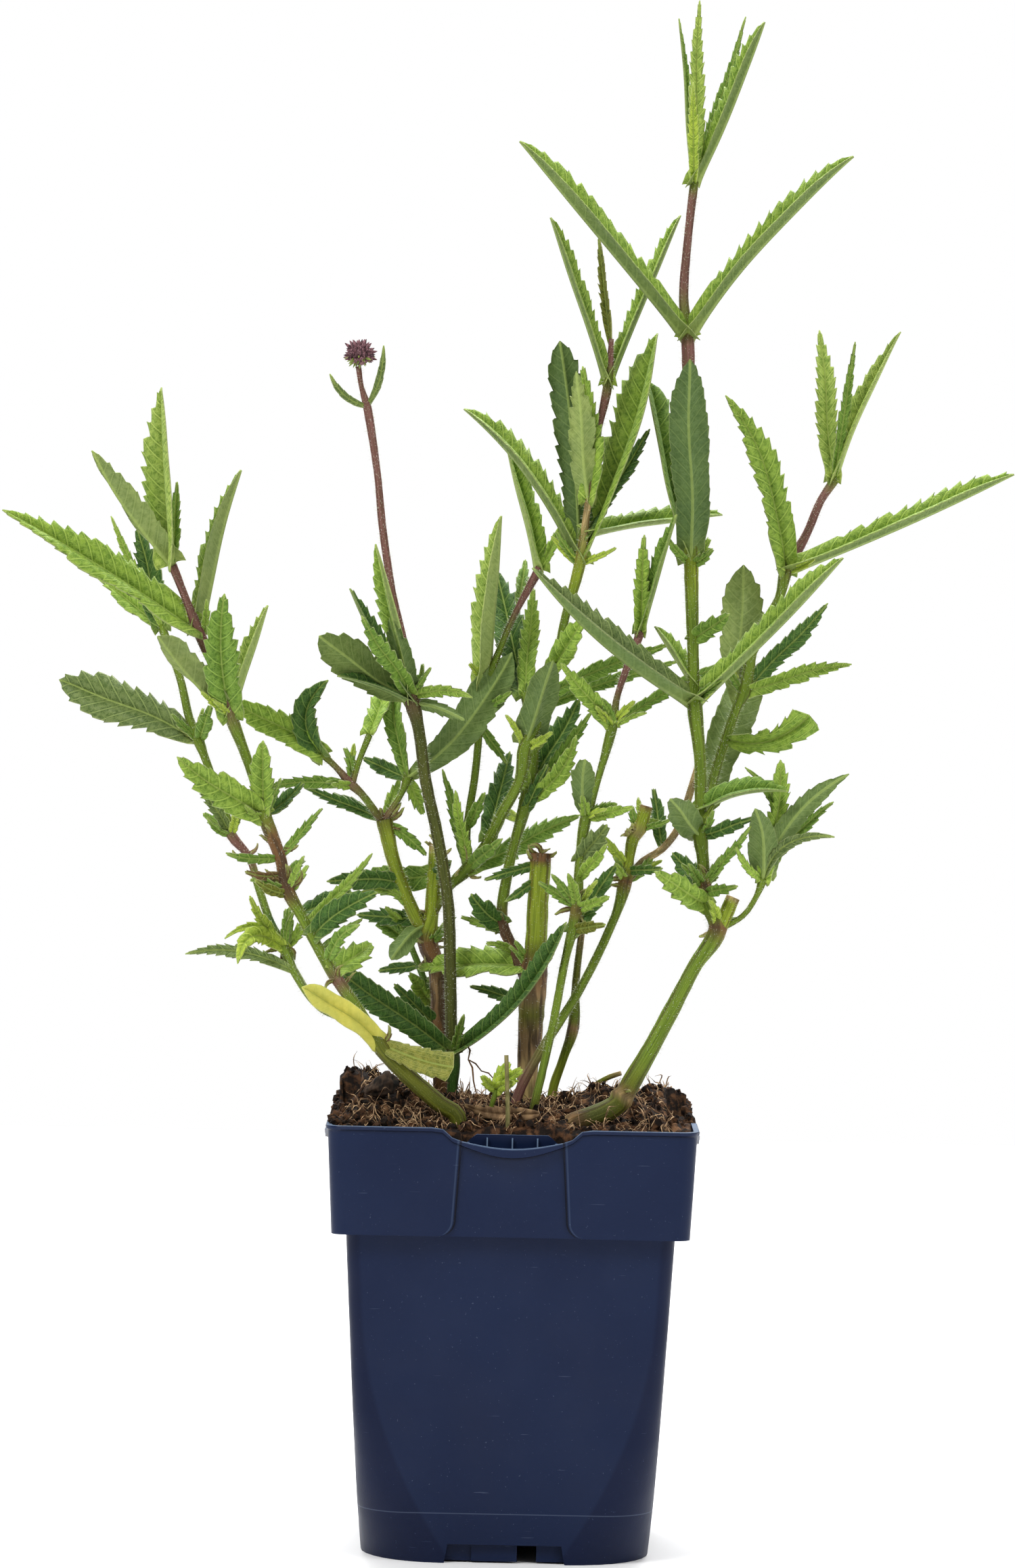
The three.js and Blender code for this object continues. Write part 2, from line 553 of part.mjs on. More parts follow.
    [204, 76, 222, -5, 0, 4.2, 0, 25, CLASPING],
    [204, 68.5, 224.5, 4, 0, 2.7, 0, 25, NARROW],
    [204, 80.5, 240, 3, 0, 2.2, 0, 30, NARROW],
    [204, 100.5, 237, 6, 0, 3, 0, 25, CLASPING],
  ],
};

// Leafy stems that are one piece each, with the colour of their green
const LEAFY_STEMS = [
  { name: 'leafy_stem_left', stems: ['leftMain', 'leftFork'], color: 0x6f8436 },
  { name: 'leafy_stem_flowering', stems: ['flowering'], color: 0x74863a },
  {
    name: 'leafy_stem_cut_left',
    stems: ['oldLeft', 'oldLeftFork', 'farTwig', 'midTwig', 'nearTwig', 'middle', 'middleFork'],
    color: 0x6c8238,
  },
  { name: 'leafy_stem_cut_right', stems: ['oldRight', 'rightFork'], color: 0x64783a },
  { name: 'leafy_stem_slender', stems: ['slender'], color: 0x78893c },
  { name: 'leafy_stem_diagonal', stems: ['diagonal', 'tanFork'], color: 0x7c7a44 },
  { name: 'stem_short', stems: ['short'], color: 0x5a4632 },
  { name: 'leafy_stem_tall', stems: ['tall', 'tallFork', 'cutStub', 'sideShoot'], color: 0x70873a },
];

function leafyStem({ stems }) {
  const solids = [];
  stems.forEach((stem) => {
    const stations = STEMS[stem];
    solids.push(rod(stations));
    (LEAVES[stem] ?? []).forEach((row) => {
      solids.push(blade(pointOnStem(stations, row[0]), row));
    });
  });
  return largestPiece(unionOf(solids));
}

// A closed skin over rings with equal counts of points, capped flat at both ends
function loftSolid(rings) {
  const count = rings[0].length;
  const points = rings.flat();
  const faces = [];
  for (let ring = 0; ring < rings.length - 1; ring += 1) {
    for (let i = 0; i < count; i += 1) {
      const a = ring * count + i;
      const b = ring * count + ((i + 1) % count);
      faces.push([a, b, a + count], [b, b + count, a + count]);
    }
  }
  [rings[0], rings[rings.length - 1]].forEach((ring, end) => {
    const centre = new THREE.Vector3();
    ring.forEach((point) => centre.addScaledVector(point, 1 / count));
    const first = end === 0 ? 0 : (rings.length - 1) * count;
    points.push(centre);
    for (let i = 0; i < count; i += 1) {
      const a = first + i;
      const b = first + ((i + 1) % count);
      faces.push(end === 0 ? [points.length - 1, b, a] : [points.length - 1, a, b]);
    }
  });
  return solidOf(points, faces);
}

// A rounded square ring. Side places are the points along each side between its two rounded corners.
const CORNER_STEPS = 3;

function squareRing(half, radius, sidePlaces, placeOf) {
  const ring = [];
  for (let side = 0; side < 4; side += 1) {
    const turn = (side * Math.PI) / 2;
    const flat = [];
    [radius - half, ...sidePlaces, half - radius].forEach((along) => {
      flat.push({ along, out: half });
    });
    for (let step = 1; step < CORNER_STEPS; step += 1) {
      const angle = (step / CORNER_STEPS) * (Math.PI / 2);
      const along = half - radius + Math.sin(angle) * radius;
      flat.push({ along, out: half - radius + Math.cos(angle) * radius });
    }
    flat.forEach(({ along, out }) => {
      const { push, z } = placeOf(along, out);
      const x = along;
      const y = -(out + push);
      ring.push(new THREE.Vector3(
        x * Math.cos(turn) - y * Math.sin(turn),
        x * Math.sin(turn) + y * Math.cos(turn),
        z,
      ));
    });
  }
  return ring;
}

function levelRing(half, radius, z) {
  return squareRing(half, radius, [], () => ({ push: 0, z }));
}

// Pot body: half-width and corner radius by height
function bodyHalf(z) {
  if (z < BODY_STEP_HEIGHT) {
    return THREE.MathUtils.mapLinear(z, 0, BODY_STEP_HEIGHT, BODY_HALF_BOTTOM, BODY_HALF_STEP);
  }
  return THREE.MathUtils.mapLinear(z, BODY_STEP_HEIGHT, BODY_TOP, BODY_HALF_STEP, BODY_HALF_TOP);
}

function bodyRadius(z) {
  const low = Math.max(0, 1 - z / BODY_ROUND_TOP);
  return CORNER_RADIUS + CORNER_EXTRA * low ** 2.1;
}

const BODY_LEVELS = [0, BODY_STEP_HEIGHT, 30, 45, BODY_ROUND_TOP, BODY_TOP];

function bodySolid(inset, bottom, top) {
  const levels = [bottom, ...BODY_LEVELS.filter((z) => z > bottom && z < top), top];
  return loftSolid(levels.map((z) => {
    const radius = Math.max(1, bodyRadius(z) - inset);
    return levelRing(bodyHalf(Math.min(z, BODY_TOP)) - inset, radius, z);
  }));
}

function bandHalf(z) {
  return THREE.MathUtils.mapLinear(z, BODY_TOP, POT_HEIGHT, BAND_HALF_BOTTOM, BAND_HALF_TOP);
}

function bandSpace(inset, bottom, top) {
  return loftSolid([bottom, top].map((z) => levelRing(bandHalf(z) - inset, CORNER_RADIUS, z)));
}

// Height of the rim along a side: high near the corners, lower over the middle
function rimHeight(along) {
  const share = THREE.MathUtils.clamp((DIP_OUTER - Math.abs(along)) / (DIP_OUTER - DIP_INNER), 0, 1);
  return POT_HEIGHT - DIP_DEPTH * (0.5 - 0.5 * Math.cos(Math.PI * share));
}

function bandSolid() {
  const half = PANEL_HALF;
  const step = (DIP_OUTER - DIP_INNER) / 3;
  const outer = [DIP_OUTER, DIP_OUTER - step, DIP_OUTER - 2 * step, half, half - PANEL_RECESS, half / 2];
  const places = [...outer.map((along) => -along), 0, ...[...outer].reverse()];
  const recess = (along) => (Math.abs(along) < half - PANEL_RECESS / 2 ? -PANEL_RECESS : 0);
  const smile = (along) => {
    const share = Math.min(1, Math.abs(along) / half);
    return SMILE_LIP * Math.cos((Math.PI / 2) * share);
  };
  const ringAt = (zOf, pushOf) => squareRing(BAND_HALF_BOTTOM, CORNER_RADIUS, places, (along) => {
    const z = zOf(along);
    return { push: bandHalf(z) - BAND_HALF_BOTTOM + pushOf(along), z };
  });
  return loftSolid([
    ringAt(() => BODY_TOP, recess),
    ringAt((along) => rimHeight(along) - LIP_HEIGHT - LIP_PROUD, recess),
    ringAt((along) => rimHeight(along) - LIP_HEIGHT, (along) => LIP_PROUD + smile(along)),
    ringAt((along) => rimHeight(along), (along) => LIP_PROUD + smile(along)),
  ]);
}

// Label pocket behind the low middle of a side: a thin wall with rounded ends and three upright ribs
const POCKET_WALL = 1;
const POCKET_TOP = POT_HEIGHT - 0.8;
const POCKET_INNER = BAND_HALF_BOTTOM - POT_WALL - POCKET_GAP - POCKET_WALL;
const POCKET_END = 2;

function pocketSolid() {
  const face = -POCKET_INNER;
  const seat = face - POCKET_WALL - POCKET_GAP - POT_WALL / 2;
  const outline = new THREE.Shape();
  outline.moveTo(-POCKET_HALF, seat);
  outline.lineTo(-POCKET_HALF, face - POCKET_END);
  outline.quadraticCurveTo(-POCKET_HALF, face, POCKET_END - POCKET_HALF, face);
  outline.lineTo(POCKET_HALF - POCKET_END, face);
  outline.quadraticCurveTo(POCKET_HALF, face, POCKET_HALF, face - POCKET_END);
  outline.lineTo(POCKET_HALF, seat);
  outline.lineTo(POCKET_HALF - POCKET_WALL, seat);
  outline.lineTo(POCKET_HALF - POCKET_WALL, face - POCKET_END);
  outline.lineTo(POCKET_HALF - POCKET_END, face - POCKET_WALL);
  outline.lineTo(POCKET_END - POCKET_HALF, face - POCKET_WALL);
  outline.lineTo(POCKET_WALL - POCKET_HALF, face - POCKET_END);
  outline.lineTo(POCKET_WALL - POCKET_HALF, seat);
  const options = { depth: POCKET_DEPTH, bevelEnabled: false, curveSegments: 3 };
  const wall = new THREE.ExtrudeGeometry(outline, options);
  wall.translate(0, 0, POCKET_TOP - POCKET_DEPTH);
  const ribs = [-RIB_SPACING, 0, RIB_SPACING].map((x) => {
    const y = face - POCKET_WALL - RIB_DEPTH / 3;
    return boxSolid(RIB_WIDTH, RIB_DEPTH, POCKET_DEPTH - 4, x, y, POCKET_TOP - POCKET_DEPTH / 2);
  });
  return unionOf([solidOfGeometry(wall), ...ribs]);
}

function turned(solid, quarter) {
  return solid.rotate([0, 0, 90 * quarter]);
}

function potSolid() {
  const ledge = BODY_TOP + POT_WALL;
  const walls = unionOf([bodySolid(0, 0, BODY_TOP + 0.5), bandSolid()]);
  const foot = new THREE.CylinderGeometry(FOOT_RADIUS, FOOT_RADIUS, FLOOR_BOTTOM + 0.4, 24);
  foot.rotateX(Math.PI / 2);
  foot.translate(0, 0, (FLOOR_BOTTOM + 0.4) / 2);
  const bodyRoom = bodySolid(POT_WALL, FLOOR_TOP, ledge + 1);
  const room = unionOf([bodyRoom, bandSpace(POT_WALL, ledge, POT_HEIGHT + 1)]);
  const underside = bodySolid(POT_WALL, -1, FLOOR_BOTTOM);
  let pot = walls.subtract(room).subtract(underside).add(solidOfGeometry(foot));
  for (let quarter = 0; quarter < 4; quarter += 1) {
    const notchMiddle = NOTCH_HEIGHT / 2 - 0.5;
    const notch = boxSolid(2 * NOTCH_HALF, 10, NOTCH_HEIGHT + 1, 0, -BODY_HALF_BOTTOM, notchMiddle);
    const drainY = DRAIN_FROM_WALL - BODY_HALF_BOTTOM;
    const drain = boxSolid(DRAIN_WIDTH, DRAIN_LENGTH, 4, DRAIN_WIDTH, drainY, FLOOR_BOTTOM);
    pot = pot.subtract(turned(notch, quarter)).subtract(turned(drain, quarter));
    pot = pot.add(turned(pocketSolid(), quarter));
  }
  return pot;
}

// Soil: fills the pot to its rim, with heaps [x, y, height, spread] where it was pushed up
const SOIL_HEAPS = [
  [-46, 22, 7, 9], [-33, 4, 5, 12], [-38, -18, 5, 9], [44, 8, 6, 10], [29, -12, 8, 7], [8, -18, 3, 14],
  [0, -47, -2, 9],
];
const SOIL_RINGS = [0.92, 0.78, 0.62, 0.45, 0.28, 0.12];
const CRUMB = 0.7;

function soilHeight(x, y) {
  let z = SOIL_LEVEL - 2.5 * ((x * x + y * y) / (BAND_HALF_TOP * BAND_HALF_TOP));
  SOIL_HEAPS.forEach(([heapX, heapY, height, spread]) => {
    const away = ((x - heapX) ** 2 + (y - heapY) ** 2) / (2 * spread * spread);
    z += height * Math.exp(-away);
  });
  return z + CRUMB * Math.sin(x * 0.47 + 1.1) * Math.sin(y * 0.41 - 0.6);
}

function soilSolid(pieces) {
  const inset = POT_WALL + GAP;
  const ledge = BODY_TOP + POT_WALL + GAP;
  const places = [-14, 14];
  const rings = [];
  [FLOOR_TOP + GAP, BODY_STEP_HEIGHT, 45, BODY_ROUND_TOP, ledge].forEach((z) => {
    const radius = Math.max(1, bodyRadius(z) - inset);
    rings.push(squareRing(bodyHalf(Math.min(z, BODY_TOP)) - inset, radius, places, () => ({ push: 0, z })));
  });
  rings.push(squareRing(bandHalf(ledge) - inset, CORNER_RADIUS, places, () => ({ push: 0, z: ledge })));
  const brim = squareRing(bandHalf(POT_HEIGHT) - inset, CORNER_RADIUS, places, () => ({ push: 0, z: 0 }));
  const crest = (point, share) => {
    const x = point.x * share;
    const y = point.y * share;
    return new THREE.Vector3(x, y, soilHeight(x, y));
  };
  rings.push(brim.map((point) => crest(point, 1).setZ(POT_HEIGHT - DIP_DEPTH)));
  [0.995, ...SOIL_RINGS].forEach((share) => rings.push(brim.map((point) => crest(point, share))));
  let soil = loftSolid(rings);
  for (let quarter = 0; quarter < 4; quarter += 1) {
    const depth = 2 * (POCKET_GAP + POCKET_WALL + POT_WALL);
    const height = 2 * POCKET_DEPTH;
    const width = 2 * (POCKET_HALF + GAP);
    const y = GAP - POCKET_INNER - depth / 2;
    const z = POCKET_TOP - POCKET_DEPTH - GAP + height / 2;
    soil = soil.subtract(turned(boxSolid(width, depth, height, 0, y, z), quarter));
  }
  return largestPiece(soil.subtract(unionOf(pieces)));
}

// Flower head: tight buds standing out of a small core at the top of the flowering stem
const HEAD = {
  x: -51.2, z: 361.6, depth: 13, radius: 3.6, buds: 14, spread: 1.35, budLength: 2.6, budWidth: 1.4,
};

function flowerHead() {
  const centre = placed(HEAD.x, HEAD.z, HEAD.depth);
  const core = new THREE.IcosahedronGeometry(HEAD.radius, 0);
  core.translate(centre.x, centre.y, centre.z);
  const buds = [];
  for (let bud = 0; bud < HEAD.buds; bud += 1) {
    const up = 1 - (HEAD.spread * (bud + 0.5)) / HEAD.buds;
    const around = bud * Math.PI * (3 - Math.sqrt(5));
    const flat = Math.sqrt(1 - up * up);
    const way = new THREE.Vector3(flat * Math.cos(around), flat * Math.sin(around), up);
    const shape = new THREE.SphereGeometry(1, 4, 3);
    shape.scale(HEAD.budWidth, HEAD.budLength, HEAD.budWidth);
    const turn = new THREE.Quaternion().setFromUnitVectors(new THREE.Vector3(0, 1, 0), way);
    shape.applyQuaternion(turn);
    const seat = centre.clone().addScaledVector(way, HEAD.radius);
    shape.translate(seat.x, seat.y, seat.z);
    buds.push(solidOfGeometry(shape));
  }
  return unionOf([solidOfGeometry(core), ...buds]);
}

// Loose bits on the soil, each with an allowance for the hollow it lies in
const BARK = { x: -39.5, y: -20, z: 139.3, width: 4.2, depth: 3.4, height: 4, tilt: 0.5 };

function barkChunk(grow = 0) {
  const chunk = new THREE.IcosahedronGeometry(1, 1);
  chunk.scale(BARK.width + grow, BARK.depth + grow, BARK.height + grow);
  chunk.rotateY(BARK.tilt);
  chunk.translate(BARK.x, BARK.y, BARK.z);
  return solidOfGeometry(chunk);
}

const SEEDLING_TOP = [-5, 138.5, -34];

function seedling(grow = 0) {
  const stalk = [[-7, 122, -34, 0.8], [-6.5, 133, -34, 0.8], [...SEEDLING_TOP, 0.9]];
  const leaf = [0, 1.5, 143.5, -3, 0.5, 2.4, 10, 20, CLASPING];
  return unionOf([rod(stalk, grow), blade(SEEDLING_TOP, leaf, grow)]);
}

function thinStick(grow = 0) {
  return rod([[-1.2, 118, -43, 0.75], [-1.6, 134, -43, 0.7], [-2.3, 149, -42, 0.65]], grow);
}

function deadLeaf(grow = 0) {
  const leaf = [0, -15, 133.5, 2, 1.5, 2.6, 0, 18, NARROW];
  return blade([8, 131.3, -40], leaf, grow);
}

const looseBits = [
  { name: 'bark_chunk', make: barkChunk, color: 0x1c1613 },
  { name: 'seedling', make: seedling, color: 0x7fa32c },
  { name: 'thin_stick', make: thinStick, color: 0x6b6a3c },
  { name: 'dead_leaf', make: deadLeaf, color: 0x6d5233 },
];

function meshOf(name, solid, color, roughness) {
  const { numProp, vertProperties, triVerts } = solid.getMesh();
  const geometry = new THREE.BufferGeometry();
  const positions = [];
  for (let i = 0; i < vertProperties.length; i += numProp) {
    positions.push(vertProperties[i], vertProperties[i + 1], vertProperties[i + 2]);
  }
  geometry.setAttribute('position', new THREE.Float32BufferAttribute(positions, 3));
  geometry.setIndex([...triVerts]);
  geometry.computeVertexNormals();
  const mesh = new THREE.Mesh(geometry, new THREE.MeshStandardMaterial({ color, roughness, metalness: 0 }));
  mesh.name = name;
  return mesh;
}

const group = new THREE.Group();
group.add(meshOf('pot', potSolid(), 0x222d4d, 0.45));
const roots = LEAFY_STEMS.flatMap(({ stems }) => stems)
  .filter((stem) => STEMS[stem][0][1] < SOIL_LEVEL - 5)
  .map((stem) => rod(STEMS[stem], GAP));
const hollows = looseBits.map(({ make }) => make(GAP));
group.add(meshOf('soil', soilSolid([...roots, ...hollows]), 0x2e211a, 0.95));
LEAFY_STEMS.forEach((node) => group.add(meshOf(node.name, leafyStem(node), node.color, 0.6)));
group.add(meshOf('flower_head', flowerHead(), 0x6a3b74, 0.6));
looseBits.forEach(({ name, make, color }) => group.add(meshOf(name, make(), color, 0.8)));

export default group;
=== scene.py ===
"""Potted purpletop vervain: the finished surfaces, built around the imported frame."""

import logging
import math
import random
from collections.abc import Callable, Iterable
from dataclasses import dataclass, field
from enum import Enum

import bmesh
import bpy
from mathutils import Euler, Matrix, Vector, noise
from mathutils.geometry import interpolate_bezier


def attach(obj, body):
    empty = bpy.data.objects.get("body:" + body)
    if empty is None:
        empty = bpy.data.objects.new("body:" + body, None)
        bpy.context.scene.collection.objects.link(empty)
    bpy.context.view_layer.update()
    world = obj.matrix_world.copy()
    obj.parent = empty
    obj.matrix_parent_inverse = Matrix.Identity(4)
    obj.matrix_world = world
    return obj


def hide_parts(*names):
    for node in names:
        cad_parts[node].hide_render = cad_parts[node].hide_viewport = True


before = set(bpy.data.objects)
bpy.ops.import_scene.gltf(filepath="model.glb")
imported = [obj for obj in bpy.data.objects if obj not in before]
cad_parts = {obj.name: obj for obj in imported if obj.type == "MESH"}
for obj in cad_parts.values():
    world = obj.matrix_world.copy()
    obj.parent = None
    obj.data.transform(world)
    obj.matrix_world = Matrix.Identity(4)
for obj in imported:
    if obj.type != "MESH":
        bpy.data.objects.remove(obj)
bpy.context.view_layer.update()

LOG = logging.getLogger("vervain")
MM = 0.001
BMesh = bmesh.types.BMesh
Material = bpy.types.Material
Triple = tuple[float, float, float]
Colour = Triple
Station = tuple[float, float, float, float]
Root = tuple[Vector, Vector, float]
Skin = tuple[Vector, Colour, tuple, tuple]
Rule = Callable[[bool, float], Triple]
UNPAINTED = ((1, 1, 1), (0, 0), (0, 0))


@dataclass(frozen=True)
class FrontView:
    """The photograph's camera, in millimetres, and the rule that places pieces along its sight lines."""

    x: float = -3.6
    z: float = 296.5
    distance: float = 1805.0
    pitch: float = 2.05
    roll: float = 1.15
    lens: float = 135.95
    sensor: float = 36.0
    reach: float = 50.0

    def placed(self, x: float, z: float, depth: float) -> Vector:
        """Gives the point at a depth that is seen where (x, z) lies in the plane of the pot's middle.

        Args:
            x: Place across, read in that plane.
            z: Height, read in that plane.
            depth: Distance behind that plane, negative toward the viewer.

        Returns:
            The point in millimetres.
        """
        scale = depth / self.distance
        return Vector((x + (x - self.x) * scale, depth, z + (z - self.z) * scale))


VIEW = FrontView()


class Outline(Enum):
    """Leaf outlines: share of the full width at the base, where the blade is widest, and how blunt."""

    CLASPING = (0.55, 0.48, 2.1)
    NARROW = (0.34, 0.48, 1.8)
    SPOON = (0.22, 0.66, 2.5)
    STRAP = (0.78, 0.60, 4.5)
    FAN = (0.35, 0.90, 7.0)
    CUP = (0.85, 0.42, 2.6)
    PADDLE = (0.50, 0.74, 3.4)
    KEELED = (0.60, 0.62, 2.9)


class Tone(Enum):
    """Greens and browns of the plant, as linear colours of the upper side and the underside."""

    SUNNY = ((0.300, 0.410, 0.080), (0.240, 0.312, 0.095))
    BRIGHT = ((0.225, 0.350, 0.044), (0.190, 0.252, 0.075))
    MID = ((0.130, 0.235, 0.028), (0.135, 0.198, 0.050))
    DARK = ((0.040, 0.106, 0.013), (0.076, 0.130, 0.036))
    LIME = ((0.330, 0.440, 0.045), (0.340, 0.420, 0.080))
    GREY = ((0.120, 0.172, 0.050), (0.125, 0.192, 0.056))
    # Keeled leaves: upper side like BRIGHT, underside darkened as painted shade for the near halves that
    # face the viewer.
    KEEL = ((0.225, 0.345, 0.045), (0.115, 0.172, 0.042))
    SHEATH = ((0.215, 0.222, 0.038), (0.215, 0.222, 0.038))
    OLIVE = ((0.118, 0.130, 0.010), (0.240, 0.250, 0.045))
    YELLOW = ((0.470, 0.455, 0.085), (0.460, 0.440, 0.090))
    BROWN = ((0.120, 0.062, 0.024), (0.150, 0.085, 0.036))
    PURPLE = ((0.190, 0.086, 0.070), (0.190, 0.086, 0.070))
    DUSK = ((0.078, 0.088, 0.014), (0.078, 0.088, 0.014))
    TAN = ((0.360, 0.270, 0.120), (0.360, 0.270, 0.120))
    BARK = ((0.215, 0.145, 0.072), (0.215, 0.145, 0.072))
    STEM = ((0.148, 0.222, 0.018), (0.148, 0.222, 0.018))
    OLDSTEM = ((0.245, 0.310, 0.022), (0.245, 0.310, 0.022))

    @property
    def painted(self) -> tuple[float, ...]:
        """Gives the tone of a stem as a colour and its share of bark, from 0 to 1."""
        return (*self.value[0], {"BARK": 0.75, "BROWN": 0.6, "TAN": 0.4}.get(self.name, 0.0))


CLASPING, NARROW, SPOON, STRAP, FAN, CUP, PADDLE, KEELED = Outline
(
    SUNNY, BRIGHT, MID, DARK, LIME, GREY, KEEL, SHEATH, OLIVE, YELLOW, BROWN, PURPLE, DUSK, TAN, BARK,
    STEM, OLDSTEM,
) = Tone


@dataclass
class Value:
    """A value inside a node tree, reckoned with by plain operators that each add a Math node."""

    nodes: "Nodes"
    socket: bpy.types.NodeSocket

    def __add__(self, other: object) -> "Value":
        """Adds another value."""
        return self.nodes.math("ADD", self, other)

    def __sub__(self, other: object) -> "Value":
        """Takes another value away."""
        return self.nodes.math("SUBTRACT", self, other)

    def __rsub__(self, other: float) -> "Value":
        """Takes this value away from a number."""
        return self.nodes.math("SUBTRACT", other, self)

    def __mul__(self, other: object) -> "Value":
        """Multiplies by another value."""
        return self.nodes.math("MULTIPLY", self, other)

    def __truediv__(self, other: object) -> "Value":
        """Divides by another value."""
        return self.nodes.math("DIVIDE", self, other)

    def __abs__(self) -> "Value":
        """Drops the sign."""
        return self.nodes.math("ABSOLUTE", self)


@dataclass
class Nodes:
    """Adds nodes to one node tree, a few at a time."""

    tree: bpy.types.NodeTree

    def node(self, kind: str, output: str | int, inputs: dict | None = None, **settings: object) -> Value:
        """Adds a node.

        Args:
            kind: Its type, without the leading ShaderNode.
            output: The output that is wanted.
            inputs: What each input gets, a plain value or one of the tree's.
            **settings: Attributes set on the node.

        Returns:
            That output.
        """
        made = self.tree.nodes.new("ShaderNode" + kind)
        for name, value in settings.items():
            setattr(made, name, value)
        for name, value in (inputs or {}).items():
            self.put(made.inputs[name], value)
        return Value(self, made.outputs[output])

    def put(self, socket: bpy.types.NodeSocket, value: object) -> None:
        """Links a socket to a value of the tree, or sets it to a plain one.

        Args:
            socket: The socket.
            value: One of the tree's values, a number, or a triple for a vector or a colour.
        """
        if isinstance(value, Value):
            self.tree.links.new(value.socket, socket)
        else:
            socket.default_value = (*value, 1.0) if socket.type == "RGBA" else value

    def math(self, operation: str, *values: object) -> Value:
        """Adds a Math node and returns its result."""
        return self.node("Math", 0, dict(enumerate(values)), operation=operation)

    def ranged(self, value: Value, low: float, high: float, to: tuple[float, float] = (0, 1)) -> Value:
        """Maps low..high smoothly to the given pair."""
        inputs = {"Value": value, "From Min": low, "From Max": high, "To Min": to[0], "To Max": to[1]}
        return self.node("MapRange", "Result", inputs, interpolation_type="SMOOTHSTEP")

    def mixed(self, share: object, low: object, high: object, blend_type: str = "MIX") -> Value:
        """Mixes two colours by a share."""
        inputs = {"Factor": share, 6: low, 7: high}
        return self.node("Mix", 2, inputs, data_type="RGBA", blend_type=blend_type)

    def parts(self, vector: Value) -> list[Value]:
        """Splits a vector into x, y and z."""
        split = self.node("SeparateXYZ", 0, {"Vector": vector}).socket.node
        return [Value(self, output) for output in split.outputs]


class Shader(Nodes):
    """One node material with a principled surface."""

    def __init__(self, name: str, roughness: float, shine: float = 0.5) -> None:
        """Starts the material.

        Args:
            name: The material's name.
            roughness: Its roughness until a node drives it.
            shine: Its specular level, the same all over.
        """
        self.material = bpy.data.materials.new(name)
        self.material.use_nodes = True
        super().__init__(self.material.node_tree)
        self.surface = self.tree.nodes["Principled BSDF"].inputs
        self.surface["Roughness"].default_value = roughness
        self.surface["Specular IOR Level"].default_value = shine

    def painted(self) -> tuple[Value, Value]:
        """Reads the tone painted on the points: its colour and its strength."""
        tone = self.node("Attribute", "Color", attribute_name="Tone")
        return tone, Value(self, tone.socket.node.outputs["Alpha"])

    def flat_map(self, name: str) -> Value:
        """Reads one of the piece's own flat maps."""
        return self.node("UVMap", "UV", uv_map=name)

    def place(self) -> list[Value]:
        """Reads the place on the object as x, y and z, in metres."""
        return self.parts(self.node("TexCoord", "Object"))

    def stretched(self, where: Value, scale: Triple) -> Value:
        """Stretches places along each axis."""
        return self.node("Mapping", "Vector", {"Vector": where, "Scale": scale})

    def noise(self, where: Value, scale: float, detail: float, distortion: float = 0.0) -> Value:
        """Reads a noise at a place."""
        inputs = {"Vector": where, "Scale": scale, "Detail": detail, "Distortion": distortion}
        return self.node("TexNoise", "Fac", inputs)

    def object_noise(self, size_mm: float, detail: float = 3.0, stretch: Triple = (1, 1, 1)) -> Value:
        """Reads a noise on Object coordinates, with lumps of about size_mm."""
        places = self.stretched(self.node("TexCoord", "Object"), stretch)
        return self.noise(places, 1 / (size_mm * MM), detail)

    def finished(
        self, body: Value, rough: Value | None = None, height: Value | None = None, depth_mm: float = 0.0,
        strength: float = 1.0,
    ) -> Material:
        """Connects the surface.

        Args:
            body: Its colour.
            rough: Its roughness, if a node drives it.
            height: The height that its bump follows, if it has one.
            depth_mm: Depth of the bump.
            strength: Strength of the bump.

        Returns:
            The material.
        """
        self.put(self.surface["Base Color"], body)
        if rough:
            self.put(self.surface["Roughness"], rough)
        if height:
            inputs = {"Height": height, "Distance": depth_mm * MM, "Strength": strength}
            self.put(self.surface["Normal"], self.node("Bump", "Normal", inputs))
        return self.material


